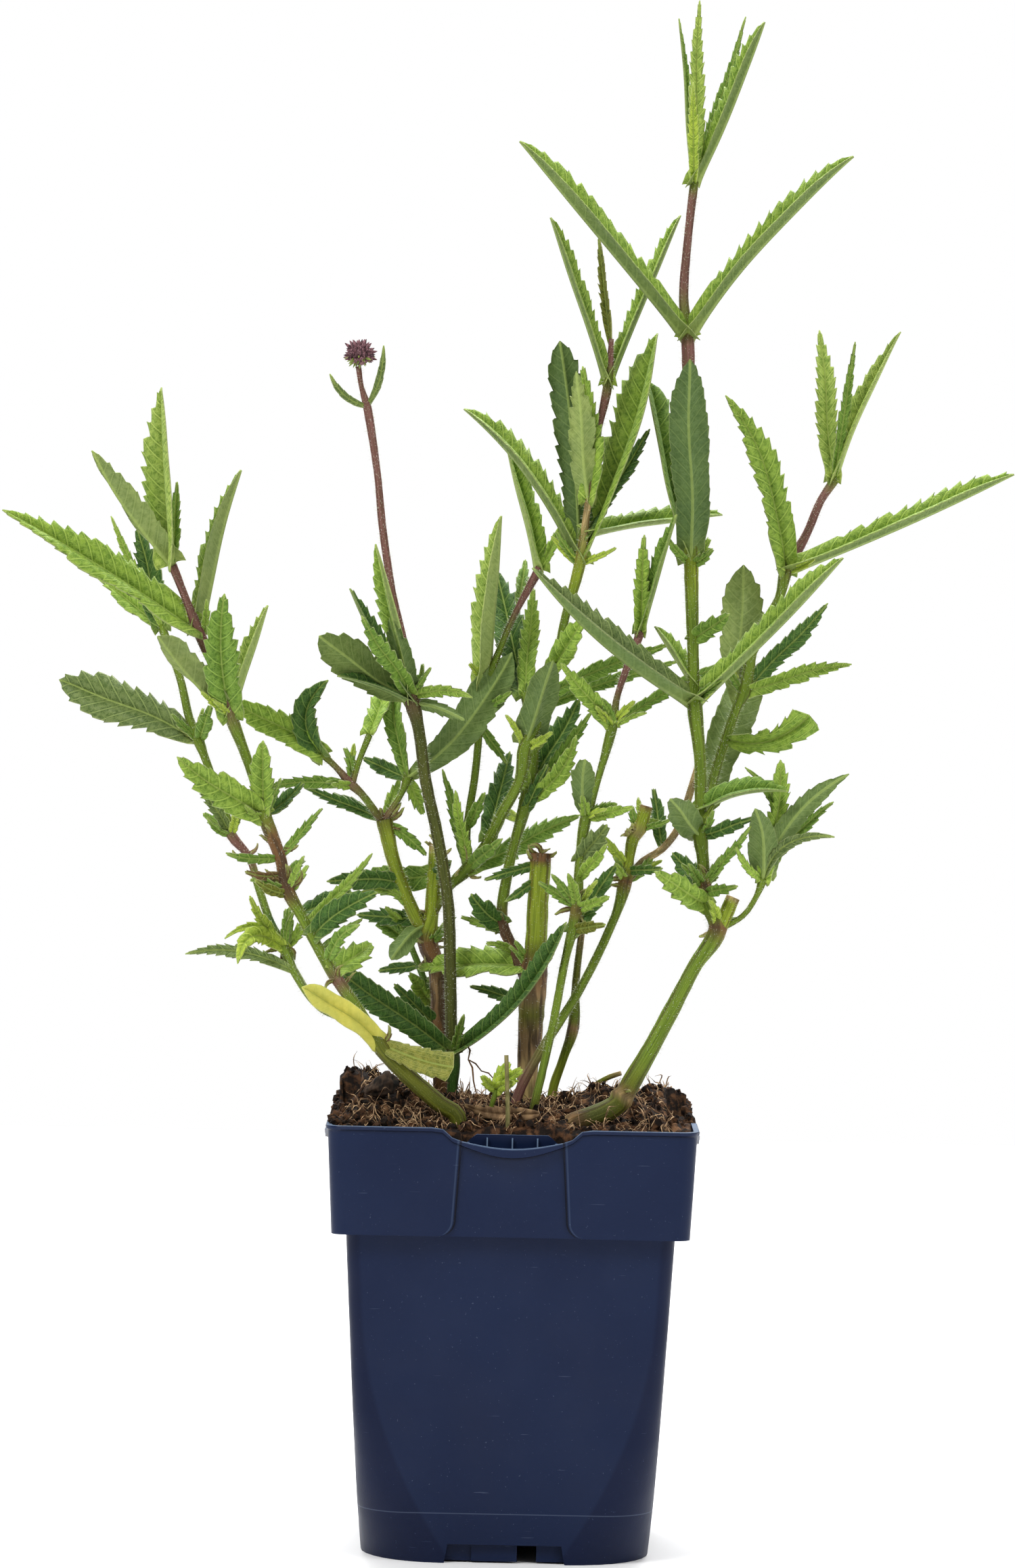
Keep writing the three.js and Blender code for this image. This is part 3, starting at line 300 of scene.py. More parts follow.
@dataclass(frozen=True)
class LeafFinish:
    """Hairy, veined leaf: its own tone, paler midrib and veins, and a quilted surface."""

    name: str = "leaf_surface"
    roughness: float = 0.52
    shine: float = 0.22
    sheen: float = 0.03
    cell_size: float = 1.15
    midrib_half: tuple[float, float] = (0.16, 0.50)
    vein_half: tuple[float, float] = (0.03, 0.105)
    valley_half: tuple[float, float] = (0.07, 0.32)
    vein_tint: Colour = (0.40, 0.50, 0.12)
    line_tint: Colour = (1.55, 1.42, 1.60)
    sunlit_tint: Colour = (1.5, 1.36, 1.2)
    shadow_tint: Colour = (0.50, 0.60, 0.42)
    edge_tint: Colour = (0.36, 0.38, 0.17)

    def make(self) -> Material:
        """Builds the material from the leaf's own map in millimetres and its tone."""
        shader = Shader(self.name, self.roughness, self.shine)
        tone, relief = shader.painted()
        metric = shader.flat_map("Millimetres")
        from_middle, veins, _ = shader.parts(shader.flat_map("Share"))
        from_vein = shader.math("PINGPONG", veins, 0.5)
        vein = shader.ranged(from_vein, *self.vein_half, (1, 0))
        valley = shader.ranged(from_vein, *self.valley_half, (1, 0))
        midrib = shader.ranged(abs(shader.parts(metric)[0]), *self.midrib_half, (1, 0))
        inputs = {"Vector": metric, "Scale": 1 / self.cell_size, "Randomness": 0.9}
        cells = shader.node("TexVoronoi", "Distance", inputs, feature="DISTANCE_TO_EDGE")
        net = shader.ranged(cells, 0.02, 0.11, (1, 0))
        speckle = shader.noise(metric, 0.55, 2.5)
        blotch = shader.ranged(shader.object_noise(9.0), 0.3, 0.72)
        body = shader.mixed(shader.ranged(speckle, 0.36, 0.66) * relief, tone, self.shadow_tint, "MULTIPLY")
        body = shader.mixed(blotch * 0.5, body, self.sunlit_tint, "MULTIPLY")
        body = shader.mixed(valley * relief * 0.62, body, self.shadow_tint, "MULTIPLY")
        lines = shader.math("MAXIMUM", vein * 0.85, net * 0.36)
        faint = shader.mixed(0.2, shader.mixed(1.0, tone, self.line_tint, "MULTIPLY"), self.vein_tint)
        body = shader.mixed(lines * relief, body, faint)
        body = shader.mixed(shader.ranged(from_middle, 0.955, 0.995) * 0.35, body, self.edge_tint)
        pale = shader.mixed(0.6, tone, self.vein_tint)
        body = shader.mixed(midrib * (relief * 0.62 + 0.28), body, pale)
        rough = shader.ranged(speckle, 0.3, 0.7, (self.roughness + 0.16, self.roughness + 0.33))
        sunk = shader.math("MAXIMUM", vein, net * 0.7) * relief
        shader.surface["Sheen Weight"].default_value = self.sheen
        return shader.finished(body, rough - relief * 0.24, speckle * 1.2 - sunk, 0.15, 0.8)


@dataclass(frozen=True)
class StemFinish:
    """Ribbed stem skin: its own tone with lengthwise streaks, small raised dots and plates of bark."""

    name: str = "stem_skin"
    roughness: float = 0.5
    shine: float = 0.2
    streak_width: float = 0.45
    plates_a_mm: float = 0.42
    drawn_out: float = 0.07
    ribs: float = 4.0
    rib_tint: Colour = (0.60, 0.44, 0.48)
    stripe_tint: Colour = (0.56, 0.60, 0.46)
    dot_tint: Colour = (0.42, 0.42, 0.20)
    plate_tint: Colour = (1.7, 1.6, 1.5)
    crack: Colour = (0.050, 0.028, 0.014)

    def make(self) -> Material:
        """Builds the material from the stem's own map in millimetres and its tone."""
        shader = Shader(self.name, self.roughness, self.shine)
        tone, woody = shader.painted()
        metric = shader.flat_map("Millimetres")
        fine = shader.stretched(metric, (1 / self.streak_width, self.drawn_out, 1.0))
        wide = shader.stretched(metric, (self.plates_a_mm, self.drawn_out, 1.0))
        streaks = shader.noise(fine, 1.0, 4.0)
        dots = shader.noise(metric, 2.6, 2.0)
        body = shader.mixed(shader.ranged(streaks, 0.35, 0.68), tone, self.stripe_tint, "MULTIPLY")
        corner = shader.math("PINGPONG", shader.parts(shader.flat_map("Share"))[0] * self.ribs, 0.5)
        rib = shader.ranged(corner, 0.3, 0.5) * shader.ranged(streaks, 0.25, 0.55)
        body = shader.mixed(rib, body, self.rib_tint, "MULTIPLY")
        body = shader.mixed(shader.ranged(dots, 0.6, 0.74) * 0.3, body, self.dot_tint)
        plates = shader.ranged(shader.noise(wide, 1.0, 5.0, 0.6), 0.42, 0.56)
        bark = shader.mixed(plates, self.crack, shader.mixed(1.0, tone, self.plate_tint, "MULTIPLY"))
        body = shader.mixed(woody * 0.9, body, bark)
        rough = shader.ranged(dots, 0.3, 0.7, (0.42, 0.66))
        return shader.finished(body, rough, streaks + dots * 0.6 + plates * woody * 1.6, 0.25, 0.8)


@dataclass(frozen=True)
class HairFinish:
    """Fine pale hairs on the stems."""

    name: str = "pale_hairs"
    dull: Colour = (0.62, 0.66, 0.46)
    light: Colour = (0.82, 0.82, 0.70)

    def make(self) -> Material:
        """Builds a light, slightly uneven straw tint."""
        shader = Shader(self.name, 0.45)
        body = shader.mixed(shader.ranged(shader.object_noise(4.0), 0.35, 0.65), self.dull, self.light)
        return shader.finished(body, height=shader.object_noise(0.4), depth_mm=0.02)


@dataclass(frozen=True)
class PotFinish:
    """Navy injection-moulded plastic with a fine satin grain, pale specks and light scratches, with painted
    highlights on upward faces and plate edges, and painted shade under downward faces, under the lip, along
    the plate seams and on the body's round corners.
    """

    name: str = "navy_plastic"
    roughness: float = 0.42
    shine: float = 0.16
    deep: Colour = (0.0040, 0.0104, 0.0385)
    light: Colour = (0.0050, 0.0126, 0.0440)
    speck: Colour = (0.10, 0.13, 0.20)
    seam_top: float = 131.5
    seam_half: float = 15.0
    seam_slope: float = 0.062
    seam_shade: Colour = (0.16, 0.18, 0.24)
    mould_height: float = 15.1
    band_bottom: float = 99.0
    bend: float = 4.5
    corner_top: float = 75.0
    corner_spread: float = 24.0
    face_half: float = 39.3
    face_slope: float = 0.054
    # Painted highlight colour, also the tint of dust on upward faces.
    painted_highlight: Colour = (0.105, 0.160, 0.260)
    # Painted shade on the round corners.
    corner_shade: Colour = (0.50, 0.60, 0.74)
    shadow: Colour = (0.2, 0.2, 0.25)

    def shaded_seam(self, shader: Shader) -> list[Value]:
        """Paints the edge of the plates beside the middle panel of each side, as a painted shade line and a
        painted highlight line.

        Args:
            shader: The material in the making.

        Returns:
            How much of its painted shade line, and of the painted highlight line beside it, covers the
            surface.
        """
        x, y, z = shader.place()
        low = shader.math("MAXIMUM", 1.0 - (z - self.band_bottom * MM) / (self.bend * MM), 0.0)
        turn = shader.math("SQRT", 1.0 - low * low)
        edge = (self.seam_top * MM - z) * self.seam_slope + self.seam_half * MM
        edge = edge + (1.0 - turn) * (self.bend * MM)
        away = shader.math("MINIMUM", abs(x), abs(y)) - edge
        tall = shader.ranged(z, (self.band_bottom + 0.2) * MM, (self.band_bottom + 0.9) * MM)
        lines = []
        for middle, half, share in ((0.0, 0.52, 0.95), (0.8, 0.4, 0.14)):
            lines.append(shader.ranged(abs(away - middle * MM), 0.1 * MM, half * MM, (share, 0)) * tall)
        return lines

    def corners(self, shader: Shader) -> Value:
        """Tells the round corners of the body from its flat faces, where painted shade darkens them.

        Args:
            shader: The material in the making.

        Returns:
            The share of painted shade on the corners.
        """
        x, y, z = shader.place()
        left = shader.math("MAXIMUM", 1.0 - z / (self.corner_top * MM), 0.0)
        face = z * self.face_slope + self.face_half * MM - left * left * (self.corner_spread * MM)
        away = shader.math("MINIMUM", abs(x), abs(y)) - face
        body = shader.ranged(z, (self.band_bottom - 0.8) * MM, (self.band_bottom - 0.2) * MM, (1, 0))
        return shader.ranged(away, -0.4 * MM, 1.4 * MM) * body

    def mould_line(self, shader: Shader) -> Value:
        """Draws the faint pale line round the pot above its foot, and returns its share."""
        away = abs(shader.place()[2] - self.mould_height * MM)
        return shader.ranged(away, 0.06 * MM, 0.24 * MM, (1, 0)) * 0.35

    def make(self) -> Material:
        """Builds the material on Object coordinates, and the shade under the lip on the pot's own map."""
        shader = Shader(self.name, self.roughness, self.shine)
        dust = shader.ranged(shader.object_noise(0.7, 2.0), 0.70, 0.77) * 0.3
        scratch = shader.ranged(shader.object_noise(3.0, 2.0, (0.25, 0.25, 5.0)), 0.735, 0.765) * 0.3
        upward = shader.parts(shader.node("NewGeometry", "Normal"))[2]
        dark, pale = self.shaded_seam(shader)
        body = shader.mixed(shader.ranged(shader.object_noise(38.0), 0.3, 0.7), self.deep, self.light)
        for share, tint, blend_type in (
            (dust, self.speck, "MIX"),
            (scratch, self.speck, "MIX"),
            # Faces that point up are lightened: partly dust lying on them, partly a painted highlight of
            # the light from above.
            (shader.ranged(upward, 0.55, 0.95) * 0.8, self.painted_highlight, "MIX"),
            (shader.ranged(upward, -0.85, -0.4, (0.8, 0)), self.shadow, "MULTIPLY"),
            (shader.parts(shader.flat_map("Share"))[0] * 0.85, self.shadow, "MULTIPLY"),
            # A line of painted shade along each plate seam, and a painted highlight line beside it.
            (dark, self.seam_shade, "MULTIPLY"),
            (pale, self.painted_highlight, "MIX"),
            # Painted shade on the body's round corners.
            (self.corners(shader), self.corner_shade, "MULTIPLY"),
            (self.mould_line(shader), self.speck, "MIX"),
        ):
            body = shader.mixed(share, body, tint, blend_type)
        between = (self.roughness - 0.05, self.roughness + 0.09)
        rough = shader.ranged(shader.object_noise(16.0), 0.3, 0.7, between)
        return shader.finished(body, rough, shader.object_noise(0.45, 2.0) - scratch, 0.05, 0.55)


@dataclass(frozen=True)
class PeatFinish:
    """Crumbly peat in dark and mid browns."""

    name: str = "peat_crumb"
    dark: Colour = (0.008, 0.0045, 0.003)
    mid: Colour = (0.080, 0.038, 0.018)
    tan: Colour = (0.270, 0.135, 0.062)

    def make(self) -> Material:
        """Builds the material on Object coordinates."""
        shader = Shader(self.name, 0.92, 0.15)
        grain = shader.object_noise(2.2, 6.0)
        body = shader.mixed(shader.ranged(grain, 0.44, 0.66), self.dark, self.mid)
        light = shader.ranged(shader.object_noise(5.0, 5.0), 0.56, 0.70) * 0.55
        body = shader.mixed(light, body, self.tan)
        return shader.finished(body, shader.ranged(grain, 0.3, 0.7, (0.84, 0.98)), grain, 0.9)


@dataclass(frozen=True)
class DryFinish:
    """Dry plant matter: fibres, bark, dead leaves and sticks, streaked between two browns."""

    name: str
    dark: Colour
    light: Colour
    grain_size: float = 1.4

    def make(self) -> Material:
        """Builds the material on Object coordinates."""
        shader = Shader(self.name, 0.8, 0.2)
        grain = shader.object_noise(self.grain_size, 5.0, (1.0, 1.0, 0.4))
        body = shader.mixed(shader.ranged(grain, 0.33, 0.68), self.dark, self.light)
        return shader.finished(body, shader.ranged(grain, 0.3, 0.7, (0.7, 0.9)), grain, 0.3, 0.9)


FIBRE = DryFinish("root_fibre", (0.120, 0.056, 0.026), (0.620, 0.420, 0.235))
BARK_BIT = DryFinish("black_bark", (0.006, 0.005, 0.004), (0.075, 0.048, 0.032), 1.6)
STICK = DryFinish("thin_twig", (0.100, 0.095, 0.030), (0.230, 0.200, 0.080))
DEAD_LEAF = DryFinish("dead_leaf_skin", (0.110, 0.062, 0.030), (0.330, 0.210, 0.105), 2.0)
BUD = DryFinish("purple_buds", (0.030, 0.014, 0.018), (0.300, 0.150, 0.170), 0.7)


def kept(share: float) -> float:
    """Keeps a share between 0 and 1."""
    return min(1.0, max(0.0, share))


def blend(low: tuple[float, ...], high: tuple[float, ...], share: float) -> tuple[float, ...]:
    """Mixes two colours by a share."""
    return tuple(a + (b - a) * kept(share) for a, b in zip(low, high))


def quarter(side: int) -> Matrix:
    """Turns what stands at the front of the pot to another of its sides."""
    return Matrix.Rotation(side * math.pi / 2, 3, "Z")


def sideways(along: Vector) -> tuple[Vector, Vector]:
    """Gives two directions that are square to a stem's own."""
    across = along.cross(Vector((0, 1, 0))).normalized()
    return across, along.cross(across)


def pour(part: BMesh, into: BMesh) -> None:
    """Moves all of one bmesh into another.

    Args:
        part: The one that is emptied and freed.
        into: The one that takes it in.
    """
    mesh = bpy.data.meshes.new("part")
    part.to_mesh(mesh)
    part.free()
    into.from_mesh(mesh)
    bpy.data.meshes.remove(mesh)


def shown(name: str, data: bpy.types.ID) -> bpy.types.Object:
    """Adds an object to the scene.

    Args:
        name: Its name.
        data: Its mesh, lamp or camera.

    Returns:
        The object.
    """
    made = bpy.data.objects.new(name, data)
    bpy.context.scene.collection.objects.link(made)
    return made


def sheet(columns: int, rows: int, place: Callable[[int, int, bool], Skin], doubled: bool = False) -> BMesh:
    """Moves the points of a grid of quads into place one by one and merges them where they meet.

    Args:
        columns: Quads across.
        rows: Quads along.
        place: Gives, for a column, a row and the under side, the point in millimetres, its tone,
            its place on the metric map and its place on the share map.
        doubled: Whether the grid has a second skin, which is its under side.

    Returns:
        The bmesh, in metres.
    """
    bm = bmesh.new()
    bmesh.ops.create_grid(bm, x_segments=columns, y_segments=rows, size=1.0)
    layers = [bm.loops.layers.uv.new(name) for name in ("Millimetres", "Share")]
    tones = bm.verts.layers.float_color.new("Tone")
    if doubled:
        bmesh.ops.solidify(bm, geom=bm.faces[:], thickness=0.1)
    maps = {}
    for point in bm.verts:
        column = round((point.co.x + 1) / 2 * columns)
        row = round((point.co.y + 1) / 2 * rows)
        spot, tone, *maps[point] = place(column, row, point.co.z < -0.01)
        point.co = spot * MM
        point[tones] = (*tone, 1.0)[:4]
    for face in bm.faces:
        for loop in face.loops:
            for layer, uv in zip(layers, maps[loop.vert]):
                loop[layer].uv = uv
    bmesh.ops.remove_doubles(bm, verts=bm.verts[:], dist=0.004 * MM)
    bmesh.ops.dissolve_degenerate(bm, edges=bm.edges[:], dist=1e-7)
    bmesh.ops.recalc_face_normals(bm, faces=bm.faces[:])
    return bm


@dataclass
class Build:
    """A mesh that is put together from several bmeshes and becomes one piece of the model."""

    name: str
    slot: str
    finishes: list[Material]
    bm: BMesh = field(default_factory=bmesh.new)

    def add(self, part: BMesh, finish: int = 0, smooth: bool = True) -> None:
        """Takes in a bmesh and frees it.

        Args:
            part: The bmesh, in metres.
            finish: Index of its material.
            smooth: Whether its faces are shaded smooth.
        """
        for face in part.faces:
            face.material_index = finish
            face.smooth = smooth
        pour(part, self.bm)

    def finish(self, *nodes: str) -> bpy.types.Object:
        """Makes the object, lets it ride on the one body and stand for the given nodes.

        Args:
            *nodes: CAD nodes it replaces.

        Returns:
            The finished object.
        """
        mesh = bpy.data.meshes.new(self.name)
        self.bm.to_mesh(mesh)
        self.bm.free()
        piece = shown(self.name, mesh)
        for material in self.finishes:
            mesh.materials.append(material)
        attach(piece, "root")
        if nodes:
            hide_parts(*nodes)
        LOG.info("%s: %d faces", self.name, len(mesh.polygons))
        return piece


def repeated(shape: BMesh, copies: int) -> list[list[tuple[bmesh.types.BMVert, Vector]]]:
    """Repeats a small shape inside its own bmesh.

    Args:
        shape: The bmesh that holds one shape.
        copies: How many are wanted in all.

    Returns:
        For each copy its points, each with its place in the shape.
    """
    rest = [point.co.copy() for point in shape.verts]
    block = bpy.data.meshes.new("block")
    shape.to_mesh(block)
    shape.clear()
    left = copies
    while left:
        if left % 2:
            shape.from_mesh(block)
        left //= 2
        if left:
            double = bmesh.new()
            double.from_mesh(block)
            double.from_mesh(block)
            double.to_mesh(block)
            double.free()
    bpy.data.meshes.remove(block)
    shape.verts.ensure_lookup_table()
    firsts = range(0, len(rest) * copies, len(rest))
    return [list(zip(shape.verts[first : first + len(rest)], rest)) for first in firsts]


def curve_points(stations: tuple[Station, ...], step_mm: float) -> list[tuple[Vector, float, float]]:
    """Draws a smooth line through stations of a stem.

    Args:
        stations: Place across, height, depth and radius of each station, read in the front view.
        step_mm: About how far apart the drawn points are.

    Returns:
        Point, radius and height read in the front view, for each drawn point.
    """
    spots = [VIEW.placed(x, z, depth) for x, z, depth, _ in stations]
    drawn = []
    for index in range(len(spots) - 1):
        start, end = spots[index], spots[index + 1]
        before = spots[index - 1] if index else start * 2 - end
        after = spots[index + 2] if index + 2 < len(spots) else end * 2 - start
        reach = (end - start).length
        leave = (end - before).normalized() * reach / 3
        arrive = (after - start).normalized() * reach / 3
        count = max(1, round(reach / step_mm))
        line = interpolate_bezier(start, start + leave, end - arrive, end, count + 1)
        for step, spot in enumerate(line[: count + (index == len(spots) - 2)]):
            share = step / count
            ease = share * share * (3 - 2 * share)
            radius = stations[index][3] + (stations[index + 1][3] - stations[index][3]) * ease
            drawn.append((spot, radius, stations[index][1] * (1 - share) + stations[index + 1][1] * share))
    return drawn


@dataclass(frozen=True)
class BladeForm:
    """What all blades share, in millimetres and degrees, and as shares of their length or half-width."""

    thickness: float = 0.34
    keel: float = 0.5
    quilt: float = 0.52
    teeth_from: float = 0.24
    base_rows: int = 5
    teeth_to: float = 0.975
    lean_scale: float = 1.7
    phases: tuple[float, ...] = (0.0, 0.36, 0.74, 0.87)
    cut_depth: tuple[float, float] = (0.17, 0.42)
    nicks: tuple[float, ...] = (0.35, 0.7, 1.0, 1.35)
    sway: float = 0.014
    turned: float = 9.0
    cupped: float = 16.0
    lobe: float = 1.5
    edge_calm: float = 0.15


FORM = BladeForm()


@dataclass(frozen=True)
class Leaf:
    """A folded, toothed leaf blade that leaves its stem at a height read in the front view."""

    height: float
    tip_x: float
    tip_z: float
    lean: float
    half: float
    tone: Tone = MID
    spin: float = 0.0
    bend: float = 0.0
    fold: float = 30.0
    outline: Outline = NARROW
    saw: float = 1.0
    curl: float = 0.0
    twist: float = 0.0

    def width_share(self, u: float) -> float:
        """Gives the share of the half-width along the blade.

        Args:
            u: Share along the blade, from its base.

        Returns:
            The share of the half-width there.
        """
        base, peak, blunt = self.outline.value
        if u >= peak:
            return 1 - ((u - peak) / (1 - peak)) ** blunt
        start = 1 - 0.35 * max(0.0, 1 - u / 0.05) ** 2
        if base > 0.5:
            start = 1 + 0.28 * max(0.0, 1 - abs(u - 0.03) / 0.06)
        return start * (base + (1 - base) * (1 - (1 - u / peak) ** 2))

    def rows(self, length: float) -> list[tuple[float, float]]:
        """Lists the rows of the blade from base to tip.

        Args:
            length: Length of the blade in millimetres.

        Returns:
            Share along the blade and how deep the margin is cut there, from 0 to 1.
        """
        spacing = 2.3 + 0.26 * self.half
        span = FORM.teeth_to - FORM.teeth_from
        teeth = min(12, max(3, round(length * span / spacing)))
        made = [(FORM.teeth_from * step / FORM.base_rows, 0.0) for step in range(FORM.base_rows)]
        for tooth in range(teeth):
            for phase in FORM.phases:
                u = FORM.teeth_from + span * (tooth + phase) / teeth
                cut = 1 - phase / 0.74 if phase <= 0.74 else (phase - 0.74) / 0.26
                made.append((u, 0.0 if tooth == 0 and phase == 0 else cut))
        return [*made, (FORM.teeth_to, 0.3), (1.0, 0.0)]

    def build(self, base: Vector, seed: int) -> BMesh:
        """Builds the blade.

        Args:
            base: Where it leaves the stem: place across, height and depth in the front view.
            seed: Seed of its waves and small differences.

        Returns:
            The bmesh, in metres.
        """
        chance = random.Random(seed)
        tip_depth = base.z + self.lean * FORM.lean_scale
        run = Vector((self.tip_x - base.x, self.tip_z - base.y))
        middle_x = (base.x + self.tip_x) / 2 - run.y / run.length * self.bend
        middle_z = (base.y + self.tip_z) / 2 + run.x / run.length * self.bend
        start = VIEW.placed(base.x, base.y, base.z)
        tip = VIEW.placed(self.tip_x, self.tip_z, tip_depth)
        middle = VIEW.placed(middle_x, middle_z, (base.z + tip_depth) / 2)
        control = middle * 2 - (start + tip) * 0.5
        rows = self.rows(run.length)
        half_columns = 6 if self.half > 4 else (5 if self.half > 2.6 else 4)
        fold = math.radians(self.fold)
        length = (tip - start).length
        waves = [(chance.uniform(0, 6.3), chance.uniform(0.6, 1.3)) for _ in range(2)]
        shade = chance.uniform(0.9, 1.1)
        cut_depth = FORM.cut_depth[0] * self.half + FORM.cut_depth[1]
        sway = chance.uniform(-FORM.sway, FORM.sway) * length
        roll = math.radians(self.twist + chance.uniform(-FORM.turned, FORM.turned))
        spacing = length * (FORM.teeth_to - FORM.teeth_from) * 4 / (len(rows) - FORM.base_rows - 2)
        face_down = abs(self.spin) > 90
        saw = self.saw * (0.6 if face_down else 1.0)
        nicks = [[chance.choice(FORM.nicks) * saw for _ in rows] for _ in range(2)]
        keeled = 45 < abs(self.spin) < 90
        near = math.copysign(1, self.spin)
        lobe = FORM.lobe if self.outline.value[0] > 0.5 and self.half > 2.5 else 0.0
        seen_below = 0.52 if face_down else 0.4
        frames = []
        for u, _ in rows:
            turn = math.radians(self.spin) + roll * max(0.0, u - 0.15)
            spot = start * (1 - u) ** 2 + control * 2 * u * (1 - u) + tip * u * u
            along = ((control - start) * (1 - u) + (tip - control) * u).normalized()
            right = Vector((along.z, 0, -along.x)).normalized()
            front = right.cross(along).normalized()
            side = right * math.cos(turn) + front * math.sin(turn)
            upper = front * math.cos(turn) - right * math.sin(turn)
            spot += side * (sway * math.sin(2 * math.pi * u) * math.sin(math.pi * u))
            spot -= upper * (self.curl * max(0.0, (u - 0.55) / 0.45) ** 2)
            frames.append((spot, along, side, upper))

        def place(column: int, row: int, under: bool) -> Skin:
            """Puts a point of one of the blade's two skins.

            Args:
                column: Its column, from the left edge.
                row: Its row, from the base.
                under: Whether it lies on the under side.

            Returns:
                The point, its tone and its places on the two maps.
            """
            u, cut = rows[row]
            step = (column - half_columns) / half_columns
            hand = 1 if step > 0 else -1
            share = (1 - math.cos(math.pi * abs(step))) / 2 if column != half_columns else 0.0
            spot, along, side, upper = frames[row]
            lift = fold + math.radians(FORM.cupped) * max(0.0, 1 - u / 0.2) ** 2
            outward = side * (hand * math.cos(lift)) + upper * math.sin(lift)
            normal = side * (-hand * math.sin(lift)) + upper * math.cos(lift)
            width = self.half * self.width_share(u)
            calm = FORM.edge_calm if keeled and hand == near else 1.0
            nick = nicks[0 if hand > 0 else 1][max(0, row - FORM.base_rows + 1) // 4] * calm
            reach = max(0.0, width - cut * nick * min(cut_depth, width * 0.42) * share**5)
            forward = (1.0 - 1.4 * cut) * 0.8 * nick * share**4 if FORM.teeth_from < u < 0.97 else 0.0
            forward -= lobe * share**2 * max(0.0, 1 - u / 0.09)
            climb = share * width * (0.8 + 0.045 * share * width)
            phase = 3 * share if self.outline is FAN else (u * length - climb) / spacing
            ridge = abs(math.sin(math.pi * phase)) ** 1.5 * math.sin(math.pi * min(1.0, share * 1.08))
            swell = 0.1 * width * math.sin(math.pi * share) + FORM.quilt * calm * min(1, width / 6) * ridge
            wave, pace = waves[0 if hand > 0 else 1]
            swell += 0.11 * calm * width * share**2 * math.sin(2 * math.pi * u * 2.1 * pace + wave)
            swell -= 0.10 * width * share**6
            point = spot + outward * (reach * share) + normal * swell + along * forward
            if under:
                keel = max(0.0, 1 - reach * share / 0.75) * FORM.keel * (1 - 0.8 * u)
                direction = normal if share else upper
                point = point - direction * ((FORM.thickness + keel) / (math.cos(lift) if not share else 1))
            tone = tuple(channel * shade for channel in self.tone.value[under])
            tone = blend(tone, LIME.value[1], 0.4 * (1 - u / 0.12))
            relief = 0.2 if self.tone is YELLOW else (seen_below if under else 1.0)
            return point, (*tone, relief), (hand * share * width, u * length), (share, phase)

        return sheet(2 * half_columns, len(rows) - 1, place, doubled=True)


